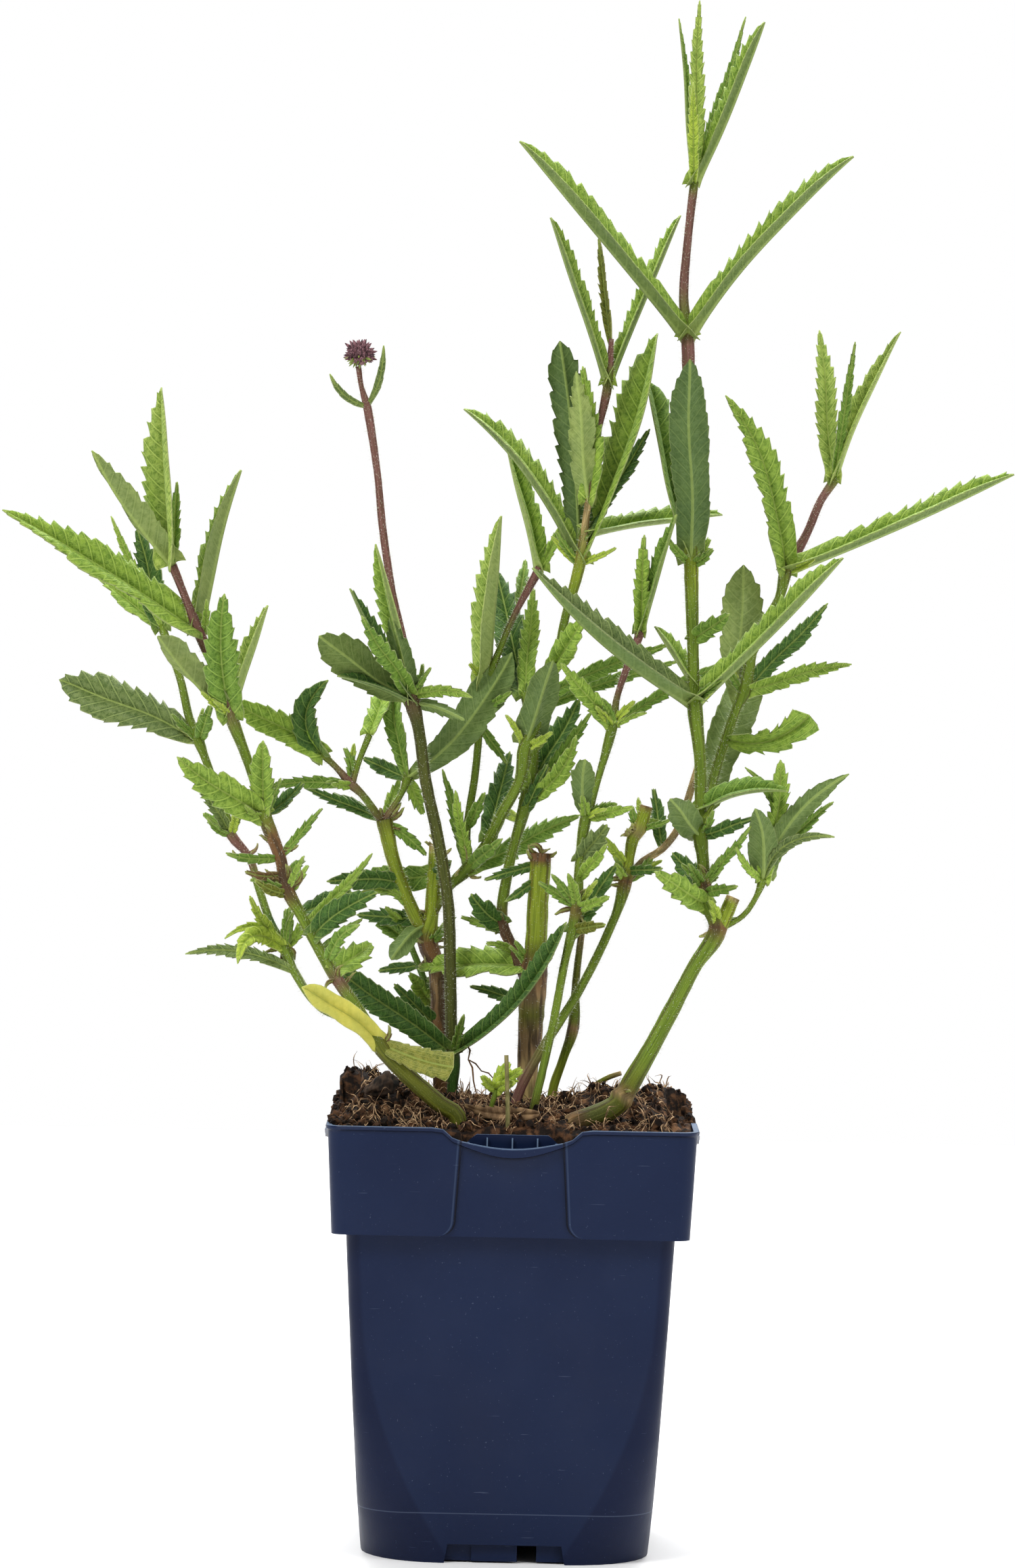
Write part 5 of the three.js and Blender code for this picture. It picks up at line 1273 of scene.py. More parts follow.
# Leaves of each stem: height, tip across, tip height, lean, half-width, then as far as they differ from
# a plain leaf: tone, spin, bend, fold, outline, saw, curl and twist
LEAVES = {
    "left_main": (
        (297, -111.5, 350.5, -4, 8, SUNNY, 50, 0, 38, CLASPING),
        (297, -132, 331, -9, 6.4, BRIGHT, -128, 1.6, 38, CLASPING),
        (276, -159, 312.5, -6, 7, BRIGHT, -35, -1, 35, CLASPING),
        (276, -87, 326, 6, 5.6, BRIGHT, 72, 1, 56, CLASPING),
        (250, -111, 275, -8, 6.6, BRIGHT, -130, 1, 34, PADDLE),
        (251, -91, 288, -12, 6, MID, 0, 2, 25, CLASPING),
        (251, -78, 285, 4, 4.5, SUNNY, 62, 0, 50, CLASPING),
        (221, -104.5, 238, -10, 5.5, BRIGHT, 0, 1, 22, CLASPING),
        (221, -66, 231, 3, 3, DARK, 30, -1, 40),
        (222, -78.5, 243.5, -6, 4.5, BRIGHT, 15, 0, 30, CLASPING),
        (188, -44.5, 210, 2, 2.1, BRIGHT, 20, -1), (191, -50, 198, 8, 3.6, DARK, 30, 0, 25),
        (184, -42.6, 198, -6, 4.4, DARK, 20, 1.5, 25, CLASPING),
        (173, -44, 182.5, 7, 4.6, BRIGHT, 20, 0, 25, CLASPING),
        (176, -48, 188, -7, 2.5, MID, 10, 2, 25),
        (152, -65, 168.5, -9, 3.7, YELLOW, -15, -1.2, 30, STRAP, 0.1),
        (152, -18.5, 145, -9, 4.5, SHEATH, 15, -1, 15, FAN, 0.7), (208, -60, 223.5, 3, 1.8, MID, 20),
        (208, -89, 209, -5, 1.8, MID, 0, 1), (203, -83, 203.5, -4, 1.6, BROWN, 0, 1),
        (203, -65, 207.5, 4, 1.6), (197, -80, 201, -5, 1.8, OLIVE, 0, 1),
        (197, -64, 206, 4, 1.6, BRIGHT, 20), (180, -47, 190, 6, 1.5, MID, 10), (297, -106, 322, 3, 2),
    ),
    "left_fork": (
        (277, -130, 293, 6, 3.2, BRIGHT, -20), (277, -118, 308, 2, 4.6, DARK, 10, 0, 25, CLASPING),
        (243, -141, 261, 10, 7.4, GREY, -10, -1, 20, SPOON), (243, -94.5, 254, -6, 2.7, MID, 0, 0, 25),
        (214.5, -99, 233, -6, 2.2, GREY), (180, -81.5, 196, -7, 2.2, LIME, 0, 1),
        (180, -69.5, 193, 2, 2.1), (180, -62, 191.5, 3, 2.1, BRIGHT, 10),
        (180, -85, 175.5, -11, 3.2, LIME, -20, -6.5, 25, CLASPING),
        (173, -101, 178, 6, 2.4, GREY, -10, -3.5), (277, -126, 311, -5, 1.8, BRIGHT),
        (214.5, -84.5, 226, 5, 1.7, MID, 10), (180, -89, 183, -4, 1.5, LIME, -10, -5.5),
    ),
    "flowering": (
        (256, -52.5, 290.5, -15, 4, DARK, -60, 1, 45, CLASPING),
        (256, -40.5, 282, -8, 4, GREY, 180, 0, 25, CLASPING),
        (257, -62, 276, -13, 6.4, MID, 180, 1, 20, SPOON),
        (258, -49, 282, -21, 3.4, MID, 0, 0, 30, CLASPING),
        (258, -45.5, 304, -11, 5.5, BRIGHT, 57, -1, 48, CLASPING),
        (256, -56, 264, -9, 3.6, DARK, -65, -1, 40, CLASPING), (258, -15, 258, -7, 2.2, BRIGHT, -10, 2),
        (256, -17, 251, -5, 2.2, GREY, 180, 1), (149, -57, 176, -8, 4.7, DARK, 5, 0, 22, KEELED, 0.55),
        (149, 15, 190, -17, 4.6, DARK, 50, -4.5, 40, KEELED, 0.6),
        (346, -60, 355.5, -6, 1.2, GREY, -10, 2, 30, NARROW, 0.4),
        (346, -44, 364.5, -4, 1.2, GREY, 10, -1.5, 30, NARROW, 0.4), (149, -15.5, 161, -6, 1.7),
    ),
    "old_left": (
        (157, -37, 170, -4, 3.2, DARK, 10, 0, 25, CLASPING),
        (189, -38, 177.3, -7, 3.3, GREY, 160, -1.5, 30, SPOON, 0.4),
        (204, -52, 203.5, 8, 4.8, MID, 0, 2, 20, CLASPING), (203, -20.5, 208, -6, 2.6, DARK, 20, 0, 25),
        (190, -49, 191, 4, 3, DARK, 0, 0, 25, CLASPING),
    ),
    "old_left_fork": (
        (201, -58, 201, -9, 3.4, DARK, 0, -1, 25, CLASPING), (220, -66, 230, 4, 2.2, DARK, -10),
        (220, -57, 228, 10, 1.9, DARK), (220, -36.5, 233, 4, 2.2, BRIGHT),
        (219, -28, 209.5, 0, 2.2, MID, 0, 1), (191, -50, 196.5, -5, 1.7, BRIGHT, -10, -5),
    ),
    "far_twig": (
        (230.5, -78, 229, -3, 2.2, MID, -5, -1.5),
        (239.5, -59, 262.5, -3, 4.8, DARK, 20, 6, 35, CLASPING),
        (239.5, -90, 256, -1, 4.7, BRIGHT, -5, -1, 22, CLASPING),
    ),
    "mid_twig": (
        (246, -39.5, 263.5, 8, 4, BRIGHT, 35, 0, 32, CLASPING),
    ),
    "near_twig": (
        (233, -39, 260, 6, 3.6, MID, 20, 1, 30, SPOON), (233, -48, 239, 6, 2.7, DARK),
        (233, -29, 222, 5, 2.6, BRIGHT, 10, 0, 25),
        (233, -3, 272, 4, 6.2, GREY, 180, -3.3, 22, SPOON, 0.7),
    ),
    "middle": (
        (354, 6.3, 404.5, -6, 3.8, KEEL, -59, 0, 48, KEELED, 1.3),
        (354, 45.3, 406, 10, 3.8, KEEL, 59, 0, 48, KEELED, 1.3),
        (366, 20.7, 399, 4, 1.9, OLIVE, 30, 0, 40),
        (299, 39.1, 370, 3, 8.8, BRIGHT, 50, -2.6, 38, SPOON, 1.2),
        (299, 9.6, 367, 6, 5.6, DARK, 180, -1.2, 20, PADDLE, 1.2),
        (318, 14.8, 358, -7, 4.4, SUNNY, 180, 0, 24, CLASPING, 1.4),
        (318.5, 16.6, 359.5, -2, 4.6, BRIGHT, 20, -1.8, 30, CLASPING, 1.3),
        (299, -19, 346, 7, 6, KEEL, -62, -3.5, 48, KEELED, 1.3),
        (308, 37.5, 341, 7, 3.2, DARK, 10, 0, 30, CLASPING),
        (308, 60.2, 315.4, 17, 5.2, BRIGHT, 57, 0.6, 45, KEELED, 1.2),
        (268, 19, 283, -9, 4.2, BRIGHT, 20, 0, 25, CLASPING),
        (243, 10, 271, -9, 5.6, GREY, 180, 0, 34, CUP, 0.5, 2.5),
        (206, -19.5, 229.5, -5, 2.4, BRIGHT, 10), (206, -23.5, 236, -1, 2),
        (206, -5, 215, -11, 2.6, MID, 10, 0, 25), (206, 19, 223, 9, 3.8, MID, 0, 0, 22, CLASPING),
        (214, -3, 242, 10, 4.2, DARK, 0, 0, 22, CLASPING),
    ),
    "middle_fork": (
        (262, -7.5, 313.5, -7, 7, SUNNY, 69, 0, 55, CLASPING),
        (297, -6, 336, 4, 5.4, BRIGHT, -59, 0, 46, CLASPING), (286, 0.5, 300.5, 7, 2.1),
        (218, -10.5, 229, -5, 2.1), (297, 13, 313, 3, 1.8, BRIGHT), (250, -4, 238, 3, 1.7),
        (254, -3, 260, -4, 1.7),
    ),
    "old_right": (
        (176, -30, 175, 8, 6.2, BRIGHT, -40, -1, 30, CLASPING), (165, -14, 170, 8, 2.2, DARK),
        (208, -10, 202.5, -3, 1.9, DARK), (203, -3.5, 196, -4, 1.7, DARK),
    ),
    "right_fork": (
        (258, -8.5, 297.5, 14, 5.8, DARK, 0, 0, 22, CLASPING),
        (259, 3, 292, 7, 3.3, BRIGHT, 0, 0, 25, CLASPING), (255, 47, 276, -1, 2.8, MID, -10, 2, 25),
        (254, 50, 271, 5, 2.3, MID, -10, 1, 25), (229, 18, 258.5, 5, 4.8, DARK, 0, 0, 22, CLASPING),
        (229, 21.5, 254.5, -3, 2.7, MID, 0, -1, 25),
        (227, 17, 247, -10, 3.2, BRIGHT, 0, -3, 25, CLASPING), (222, 8.5, 238, -4, 2.4, DARK),
        (221, -10, 225.5, 12, 2.1, LIME), (189, -14, 198, -4, 4, DARK, 0, 1, 25, CLASPING),
        (187, -17, 191, 3, 1.7, BRIGHT), (180, -9, 183, -3, 1.5, BRIGHT, 0, -1),
    ),
    "back_shoot": (
        (183, -44.4, 191.5, 2, 2.8, MID, 10, 0, 25, CLASPING), (188, -40, 193.5, -4, 1.8, BRIGHT, 10),
        (164, -32.2, 173.5, -6, 2.8, BRIGHT, 10, 0, 25, CLASPING), (171.5, -21.5, 170.5, -3, 1.4, GREY),
        (176, -42, 174, 3, 2, DARK),
    ),
    "slender": (
        (279, 36.5, 308.5, -8, 2.8, BRIGHT, 10, 0, 30, CLASPING),
        (279, 46, 315, -10, 3.8, MID, 59, 0, 48, CLASPING),
        (250, 12, 269, -8, 3.2, BRIGHT, 0, 0, 25, CLASPING), (250, 66.5, 271, 8, 2.2, MID, 0, 2),
        (222, 20, 240, -8, 3.8, GREY, 180, 1, 22, SPOON),
        (209, 27, 220, -3, 3.7, GREY, 0, 0, 25, CLASPING), (203, 27, 214, -7, 2.2, BRIGHT),
        (222, 30, 226.5, -1, 2.6, MID, 0, 0, 25), (222, 35, 225.5, -5, 2.1, BRIGHT),
        (195, 6.5, 202, -3, 1.9), (194, 28, 198, -5, 2.1, BRIGHT),
        (187, 30, 208, 4, 3.4, DARK, 0, 0, 25, CLASPING), (188, 27, 189.5, -5, 2.1, OLIVE),
        (195, 10.5, 204.5, -4, 1.7),
    ),
    "diagonal": (
        (206, 44, 207, -6, 1.9, DARK), (207, 26, 216.5, -3, 1.7, LIME),
    ),
    "tan_fork": (
        (213, 41, 231.5, 5, 2.6, DARK, 0, 0, 25),
    ),
    "tall": (
        (415, 50, 471, -6, 2.8, SUNNY), (415, 44, 465.5, 4, 1.8, MID, -50, 0, 40),
        (415, 64, 466.5, 6, 1.7, MID, 10), (415, 69.5, 465, -5, 5, KEEL, 67, -1, 50, KEELED, 1.3),
        (415, 48.5, 446, -12, 1.9, LIME, 10), (368, -3.5, 427.5, -14, 6.4, KEEL, -69, 0, 52, KEELED),
        (368, 97.5, 425, -8, 5.9, KEEL, 67, 2.5, 52, KEELED, 1.3),
        (300, 49.3, 362.4, -18, 6.3, DARK, 180, 0, 26, KEELED, 0.6),
        (300, 36.6, 355.6, 12, 6.8, MID, -50, 1.2, 40, PADDLE, 0.8),
        (257, 3, 298, -18, 7.4, GREY, -69, 3.5, 52, CLASPING),
        (257, 97, 303, -8, 6.4, KEEL, 62, -1, 50, KEELED, 1.3),
        (263, 40.5, 281, 4, 4.6, BRIGHT, -57, 0, 45, CLASPING),
        (277, 63, 285, -6, 3.3, MID, 0, 0, 25, CLASPING),
        (217, 46, 228.5, -12, 4.8, GREY, 180, 0, 22, CLASPING), (217, 72, 223, -6, 2.4, DARK),
        (225, 82, 231.5, -6, 5, MID, 55, 2.5, 46, CLASPING, 0.7),
        (202, 47, 212, 5, 3.2, DARK, 0, 0, 25, CLASPING),
        (196, 42, 206, -11, 4.2, BRIGHT, 0, 0, 22, CLASPING), (200, 67, 202, -10, 2.1),
        (202, 71, 220.5, -5, 1.8),
    ),
    "tall_fork": (
        (226, 71, 270, 18, 6.6, MID, 180, 1, 26, PADDLE, 0.6, -3.5),
        (298, 60.5, 351.5, -12, 5.4, BRIGHT, -20, -4, 30, CLASPING),
        (298, 148.5, 329.5, -16, 5.9, KEEL, 62, -1, 48, KEELED, 1.3),
        (326, 88.5, 372, 8, 3.8, SUNNY, 0, 0, 28, CLASPING), (326, 99.5, 368.5, -6, 1.8),
        (326, 113, 372, -2, 4.6, SUNNY, 60, 1, 42, CLASPING),
        (261, 93, 289, 6, 3.2, DARK, 0, 0, 25, CLASPING),
        (261, 100.5, 270.5, -6, 2.8, BRIGHT, 0, 1, 25, CLASPING),
        (257, 67, 300, 10, 6.9, SUNNY, 180, 0, 18, SPOON),
        (247, 88, 255.5, -7, 5.2, BRIGHT, -15, -4.5, 24, FAN, 1.5, -2),
    ),
    "side_shoot": (
        (204, 72, 226, -6, 4.9, GREY, 180, -1.5, 34, CUP, 0.5),
        (204, 68.7, 238.5, 4, 2.5, MID, 0, -8, 25),
        (204, 79.5, 241, 3, 3.3, BRIGHT, 0, -1.5, 25, SPOON, 1.2),
        (204, 100.5, 237, 0, 3.6, GREY, 180, 4.5, 25, CLASPING, 0.8),
        (204, 78.5, 227, 3, 3.4, BRIGHT, 0, 0, 25, CLASPING),
        (204, 96.5, 217.7, -3, 1.9, GREY, 0, 5.6, 30, NARROW, 0.6),
        (204, 96, 228.5, 3, 2.4, MID, 10, 2), (204, 66.5, 214, -3, 1.4, BRIGHT, 0, 1),
    ),
}

# Dried shreds on each stem: height, number, length and tone of each bunch
SHREDS = {
    "left_main": ((170, 3, 4.0, BROWN), (199, 4, 5.0, BROWN), (212, 3, 4.5, BROWN), (152, 2, 5.0, BROWN)),
    "left_fork": ((209, 2, 3.5, PURPLE), (180, 3, 4.0, BROWN)),
    "old_left": ((183, 5, 5.0, BARK), (180, 4, 6.0, BARK), (212, 3, 3.0, TAN), (190, 2, 3.5, BROWN)),
    "old_left_fork": ((220, 4, 4.5, BROWN),),
    "middle": ((206, 3, 4.0, TAN),),
    "old_right": ((175, 4, 4.0, BARK), (210, 5, 3.4, BROWN)),
    "right_fork": ((188, 2, 3.5, BROWN),),
    "slender": ((194, 4, 4.5, BROWN),),
    "diagonal": ((203, 4, 4.5, BROWN), (217, 4, 2.8, TAN)),
    "tall": ((189, 3, 4.0, TAN), (202, 3, 4.5, BROWN), (136, 2, 3.0, BROWN)),
}

# The plants in the pot with their stems, in the order in which they are built, and the seed of the first
FIRST_SEED = 11
PLANTS = (
    LeafyStem("leafy_stem_left", ("left_main", "left_fork")),
    LeafyStem("leafy_stem_flowering", ("flowering", "dry_rootlet", "second_rootlet")),
    LeafyStem("leafy_stem_cut_left", (
        "old_left", "old_left_fork", "back_shoot", "far_twig", "mid_twig", "near_twig", "middle",
        "middle_fork",
    )),
    LeafyStem("leafy_stem_cut_right", ("old_right", "right_fork")),
    LeafyStem("leafy_stem_slender", ("slender",)),
    LeafyStem("leafy_stem_diagonal", ("diagonal", "tan_fork")),
    LeafyStem("stem_short", ("short", "fallen_twig"), "brown_stem"),
    LeafyStem("leafy_stem_tall", ("tall", "tall_fork", "cut_stub", "side_shoot")),
)


@dataclass(frozen=True)
class BudRing:
    """A cluster of small pointed buds or bracts round the head."""

    count: int
    half_width: float
    half_length: float
    spread: float
    seat: float
    seed: int
    top: float = 1.0

    def build(self, centre: Vector) -> BMesh:
        """Sets the buds round the head, from the top down over the spread, 2 for all round.

        Args:
            centre: Middle of the head in millimetres.

        Returns:
            The bmesh, in metres.
        """
        chance = random.Random(self.seed)
        buds = bmesh.new()
        bmesh.ops.create_uvsphere(buds, u_segments=7, v_segments=6, radius=1.0)
        for order, points in enumerate(repeated(buds, self.count)):
            up = self.top - self.spread * (order + 0.5) / self.count
            around = order * math.pi * (3 - math.sqrt(5)) + chance.uniform(-0.2, 0.2)
            flat = math.sqrt(max(0.0, 1 - up * up))
            way = Vector((flat * math.cos(around), flat * math.sin(around), up))
            turned = way.to_track_quat("Z", "Y").to_matrix()
            grown = chance.uniform(0.8, 1.25)
            placed = centre + way * self.seat * chance.uniform(0.82, 1.16)
            for point, rest in points:
                narrow = self.half_width * (1 - 0.6 * max(0.0, rest.z)) * grown
                sized = Vector((rest.x * narrow, rest.y * narrow, rest.z * self.half_length * grown))
                point.co = (placed + turned @ sized) * MM
        return buds


@dataclass(frozen=True)
class FlowerHead:
    """The tight purple head: buds standing out of a small core, over green bracts."""

    x: float = -51.2
    z: float = 361.6
    depth: float = 13.0
    radius: float = 3.3
    buds: BudRing = BudRing(64, 0.62, 1.75, 1.45, 3.3, 3)
    bracts: BudRing = BudRing(26, 0.5, 2.1, 0.95, 3.3 * 0.75, 11, -0.1)

    def build(self, green: Material) -> None:
        """Builds the head.

        Args:
            green: The bracts' material.
        """
        piece = Build("flower_head_finished", "purple_bud", [BUD.make(), green])
        centre = VIEW.placed(self.x, self.z, self.depth)
        core = bmesh.new()
        bmesh.ops.create_icosphere(core, subdivisions=3, radius=self.radius * MM)
        bmesh.ops.translate(core, verts=core.verts[:], vec=centre * MM)
        piece.add(core)
        piece.add(self.buds.build(centre))
        piece.add(self.bracts.build(centre), 1)
        piece.finish("flower_head")


@dataclass(frozen=True)
class Ring:
    """One ring of the pot's skin, with a rule for the height, push outward and shade of its points."""

    half: float
    radius: float
    middle: float
    rule: Rule

    def place(self, kind: str, share: float) -> tuple[float, float]:
        """Places one column of one side.

        Args:
            kind: The stretch the column lies in.
            share: Its share along that stretch.

        Returns:
            Place along the side and distance out from the middle.
        """
        start = self.half - self.radius
        if kind == "corner":
            angle = share * math.pi / 2
            return start + math.sin(angle) * self.radius, start + math.cos(angle) * self.radius
        if kind == "inner":
            return share * self.middle, self.half
        return math.copysign(1, share) * (start + (self.middle - start) * abs(share)), self.half


@dataclass(frozen=True)
class Pot:
    """The square moulded pot, as one thin-walled skin with a panel and a low rim on each side."""

    height: float = 131.5
    wall: float = 1.2
    body_top: float = 99.0
    body_half_bottom: float = 43.5
    body_half_step: float = 44.6
    body_half_top: float = 49.1
    step_height: float = 16.0
    round_top: float = 62.0
    corner: float = 4.0
    corner_extra: float = 20.5
    corner_steps: int = 8
    band_half_bottom: float = 53.4
    band_half_top: float = 55.0
    panel_half: float = 15.0
    panel_spread: float = 2.0
    panel_corner: float = 4.5
    panel_recess: float = 0.8
    outer_shares: tuple[float, ...] = (0.0, 0.35, 0.62, 0.75, 0.84, 0.92, 1.0)
    inner_shares: tuple[float, ...] = (1.0, 0.97, 0.8, 0.6, 0.4, 0.2)
    body_heights: tuple[float, ...] = (5.7, 10.0, 16.0, 22.0, 30.0, 38.0, 46.0, 54.0, 62.0, 80.0, 99.0)
    band_heights: tuple[float, ...] = (99.0, 99.4, 100.2, 101.4, 103.5, 112.0, 121.0)
    lips: tuple[Triple, ...] = (
        (2.3, 0.0, 0.8), (1.4, 0.0, 0.8), (1.0, 0.5, 0.0), (0.25, 0.6, 0.0), (0.0, 0.35, 0.0),
    )
    dip: float = 3.7
    dip_arc: float = 2.2
    dip_inner: float = 16.0
    dip_outer: float = 22.0
    smile: float = 1.7
    sag: float = 1.5
    pocket_face: float = 48.1
    pocket_bottom: float = 108.7
    pocket_top: float = 129.2
    pocket_half_wall: float = 0.5
    pocket_bend: tuple[tuple[float, float], ...] = (
        (-13.4, 4.3), (-13.4, 2.0), (-13.1, 0.8), (-12.4, 0.2), (-11.6, 0), (-10.6, 0), (-7.5, 0),
        (-3.5, 0),
    )
    pocket_rows: int = 6
    rib_places: tuple[float, ...] = (-7.5, 0.0, 7.5)
    rib_size: Triple = (0.42, 1.3, 18.0)
    rib_middle: float = 119.3
    floor_bottom: float = 5.6
    floor_top: float = 6.8
    notch_half: float = 18.0
    foot_radius: float = 14.0
    plates: tuple[Triple, ...] = ((-18.6, -9.9, 40.6), (-9.9, 3.8, 41.4), (9.6, 18.6, 41.0))
    plate_size: tuple[float, float] = (1.2, 5.4)
    edge_round: float = 0.32
    pocket_deep: Colour = (0.10, 0.16, 0.26)
    pocket_pale: Colour = (0.16, 0.23, 0.34)

    def body_half(self, z: float) -> float:
        """Gives the half-width of the body.

        Args:
            z: The height.

        Returns:
            The half-width there.
        """
        if z < self.step_height:
            spread = self.body_half_step - self.body_half_bottom
            return self.body_half_bottom + spread * z / self.step_height
        share = (min(z, self.body_top) - self.step_height) / (self.body_top - self.step_height)
        return self.body_half_step + (self.body_half_top - self.body_half_step) * share

    def body_radius(self, z: float) -> float:
        """Gives the corner radius of the body at a height."""
        return self.corner + self.corner_extra * max(0.0, 1 - z / self.round_top) ** 2.1

    def band_share(self, z: float) -> float:
        """Gives the share of the band's height that lies below a height."""
        return (z - self.body_top) / (self.height - self.body_top)

    def band_half(self, z: float) -> float:
        """Gives the half-width of the band at a height."""
        return self.band_half_bottom + (self.band_half_top - self.band_half_bottom) * self.band_share(z)

    def panel_edge(self, z: float) -> float:
        """Gives half the width of the middle panel, which widens to a round corner at the bottom.

        Args:
            z: The height.

        Returns:
            Half the width there.
        """
        edge = self.panel_half + self.panel_spread * (1 - self.band_share(z))
        low = kept(1 - (z - self.body_top) / self.panel_corner)
        return edge + self.panel_corner * (1 - math.sqrt(1 - low * low))

    def nearness(self, along: float) -> float:
        """Tells how near a place along a side is to its middle, from 0 to 1."""
        return math.cos(math.pi / 2 * min(1.0, abs(along) / self.dip_inner))

    def rim(self, along: float) -> float:
        """Gives the height of the rim at a place along a side."""
        low = math.pi * kept((self.dip_outer - abs(along)) / (self.dip_outer - self.dip_inner))
        return self.height - self.dip * (0.5 - 0.5 * math.cos(low)) - self.dip_arc * self.nearness(along)

    def side_places(self) -> list[tuple[str, float]]:
        """Lists the columns of one side, as which stretch they lie in and the share along it."""
        outer = [("outer", share) for share in self.outer_shares]
        half = outer + [("inner", share) for share in self.inner_shares]
        left = [(kind, -share) for kind, share in half]
        corner = [("corner", step / self.corner_steps) for step in range(1, self.corner_steps)]
        return [*left, ("inner", 0.0), *reversed(half), *corner]

    def level(self, z: float, recess: float = 0.0) -> Rule:
        """Gives the rule of a ring at one height, pushed in over the middle panel."""
        return lambda inner, along: (z, -recess if inner else 0.0, 0.0)

    def foot_ring(self, z: float) -> Rule:
        """Gives the rule of a ring of the foot, raised over the notch."""
        return lambda inner, along: (self.floor_bottom if inner else z, 0.0, 0.0)

    def lip(self, below: float, proud: float = 0.0, recess: float = 0.0) -> Rule:
        """Gives the rule of a ring that follows the rim, with a thicker lip over the low middle.

        Args:
            below: How far it lies below the rim.
            proud: How far it stands out.
            recess: How far the middle panel is pushed in.

        Returns:
            The rule.
        """
        def rule(inner: bool, along: float) -> tuple[float, float, float]:
            """Gives height, push and shade of a point of the lip.

            Args:
                inner: Whether it belongs to the middle stretch.
                along: Its place along the side.

            Returns:
                Its height, its push outward and the share of shade on it.
            """
            near = self.nearness(along)
            push = proud + (self.smile * near if proud else 0.0)
            sag = self.sag * near if 0.5 < below < 2.5 else 0.0
            shade = 0.3 + 0.7 * near if below == 1.4 else 0.0
            return self.rim(along) - below - sag, push - (recess if inner else 0.0), shade
        return rule

    def rings(self) -> list[Ring]:
        """Lists the rings of the skin, up the outside and down the inside."""
        edge, notch, recess = self.panel_half + self.panel_spread, self.notch_half, self.panel_recess
        bottom, low_radius = self.body_half(0), self.body_radius(0)
        under = bottom - self.wall, low_radius - self.wall, notch
        listed = [Ring(*under, self.level(self.floor_bottom)), Ring(*under, self.foot_ring(0.0))]
        listed.append(Ring(bottom, low_radius, notch, self.foot_ring(0.0)))
        for z in self.body_heights:
            listed.append(Ring(self.body_half(z), self.body_radius(z), edge, self.level(z)))
        for z in self.band_heights:
            listed.append(Ring(self.band_half(z), self.corner, self.panel_edge(z), self.level(z, recess)))
        for below, proud, pushed in self.lips:
            half = self.band_half(self.height - below)
            listed.append(Ring(half, self.corner, self.panel_half, self.lip(below, proud, pushed)))
        half = self.band_half(self.height) - self.wall
        for rule in (self.lip(0.0), self.lip(2.6, 0.0, recess)):
            listed.append(Ring(half, self.corner, self.panel_half, rule))
        for z in (115.0, 100.2):
            listed.append(Ring(self.band_half(z) - self.wall, self.corner, edge, self.level(z, recess)))
        for z in (100.2, 62.0, 40.0, 16.0, self.floor_top):
            half, radius = self.body_half(z) - self.wall, self.body_radius(z) - self.wall
            listed.append(Ring(half, radius, edge, self.level(z)))
        return listed

    def skin(self) -> BMesh:
        """Builds the closed skin of the pot."""
        places, rings = self.side_places(), self.rings()
        columns = 4 * len(places)

        def place(column: int, row: int, _: bool) -> Skin:
            """Puts one point of the skin.

            Args:
                column: Its column, round the pot.
                row: Its ring, with the middle of the floor below the first and after the last.

            Returns:
                The point, its tone, its place on the side and the share of shade on it.
            """
            if row in (0, len(rings) + 1):
                return Vector((0, 0, self.floor_top if row else self.floor_bottom)), *UNPAINTED
            side, index = divmod(column % columns, len(places))
            ring, (kind, share) = rings[row - 1], places[index]
            along, out = ring.place(kind, share)
            z, push, shade = ring.rule(kind == "inner", along)
            return quarter(side) @ Vector((along, -(out + push), z)), (1, 1, 1), (along, z), (shade, 0)

        return sheet(columns, len(rings) + 1, place)

    def pocket(self) -> BMesh:
        """Builds the label pocket behind the low middle of the front side."""
        left = [(x, self.pocket_face + deep) for x, deep in self.pocket_bend]
        path = [*left, (0.0, self.pocket_face), *[(-x, y) for x, y in reversed(left)]]
        last = len(path) - 1

        def place(column: int, row: int, under: bool) -> Skin:
            """Puts one point of the pocket's wall.

            Args:
                column: Its place on the path.
                row: Its row, from the bottom.
                under: Whether it lies on the outer side.

            Returns:
                The point, and a tone and maps that are the same all over.
            """
            x, y = path[column]
            before, after = path[max(0, column - 1)], path[min(last, column + 1)]
            out = Vector((after[1] - before[1], before[0] - after[0], 0)).normalized()
            shift = out * (self.pocket_half_wall if under else -self.pocket_half_wall)
            tall = self.pocket_top - 1.1 * max(0.0, abs(x) - 11.0) - self.pocket_bottom
            z = self.pocket_bottom + tall * row / self.pocket_rows
            return Vector((x, -y, z)) + shift, *UNPAINTED

        return sheet(last, self.pocket_rows, place, doubled=True)

    def block(self, made: BMesh, size: Triple, middle: Triple, side: int = 0) -> None:
        """Adds a block to a bmesh.

        Args:
            made: The bmesh that takes it in.
            size: Its size.
            middle: Its middle, if it stands at the front side.
            side: The side it stands at, counted round from the front.
        """
        corners = bmesh.ops.create_cube(made, size=MM)["verts"]
        bmesh.ops.scale(made, verts=corners, vec=size)
        bmesh.ops.translate(made, verts=corners, vec=Vector(middle) * MM)
        bmesh.ops.rotate(made, verts=corners, cent=(0, 0, 0), matrix=quarter(side))

    def ribs(self) -> BMesh:
        """Builds the three thin ribs of the label pocket."""
        made = bmesh.new()
        for x in self.rib_places:
            self.block(made, self.rib_size, (x, -self.pocket_face - 0.9, self.rib_middle))
        return made

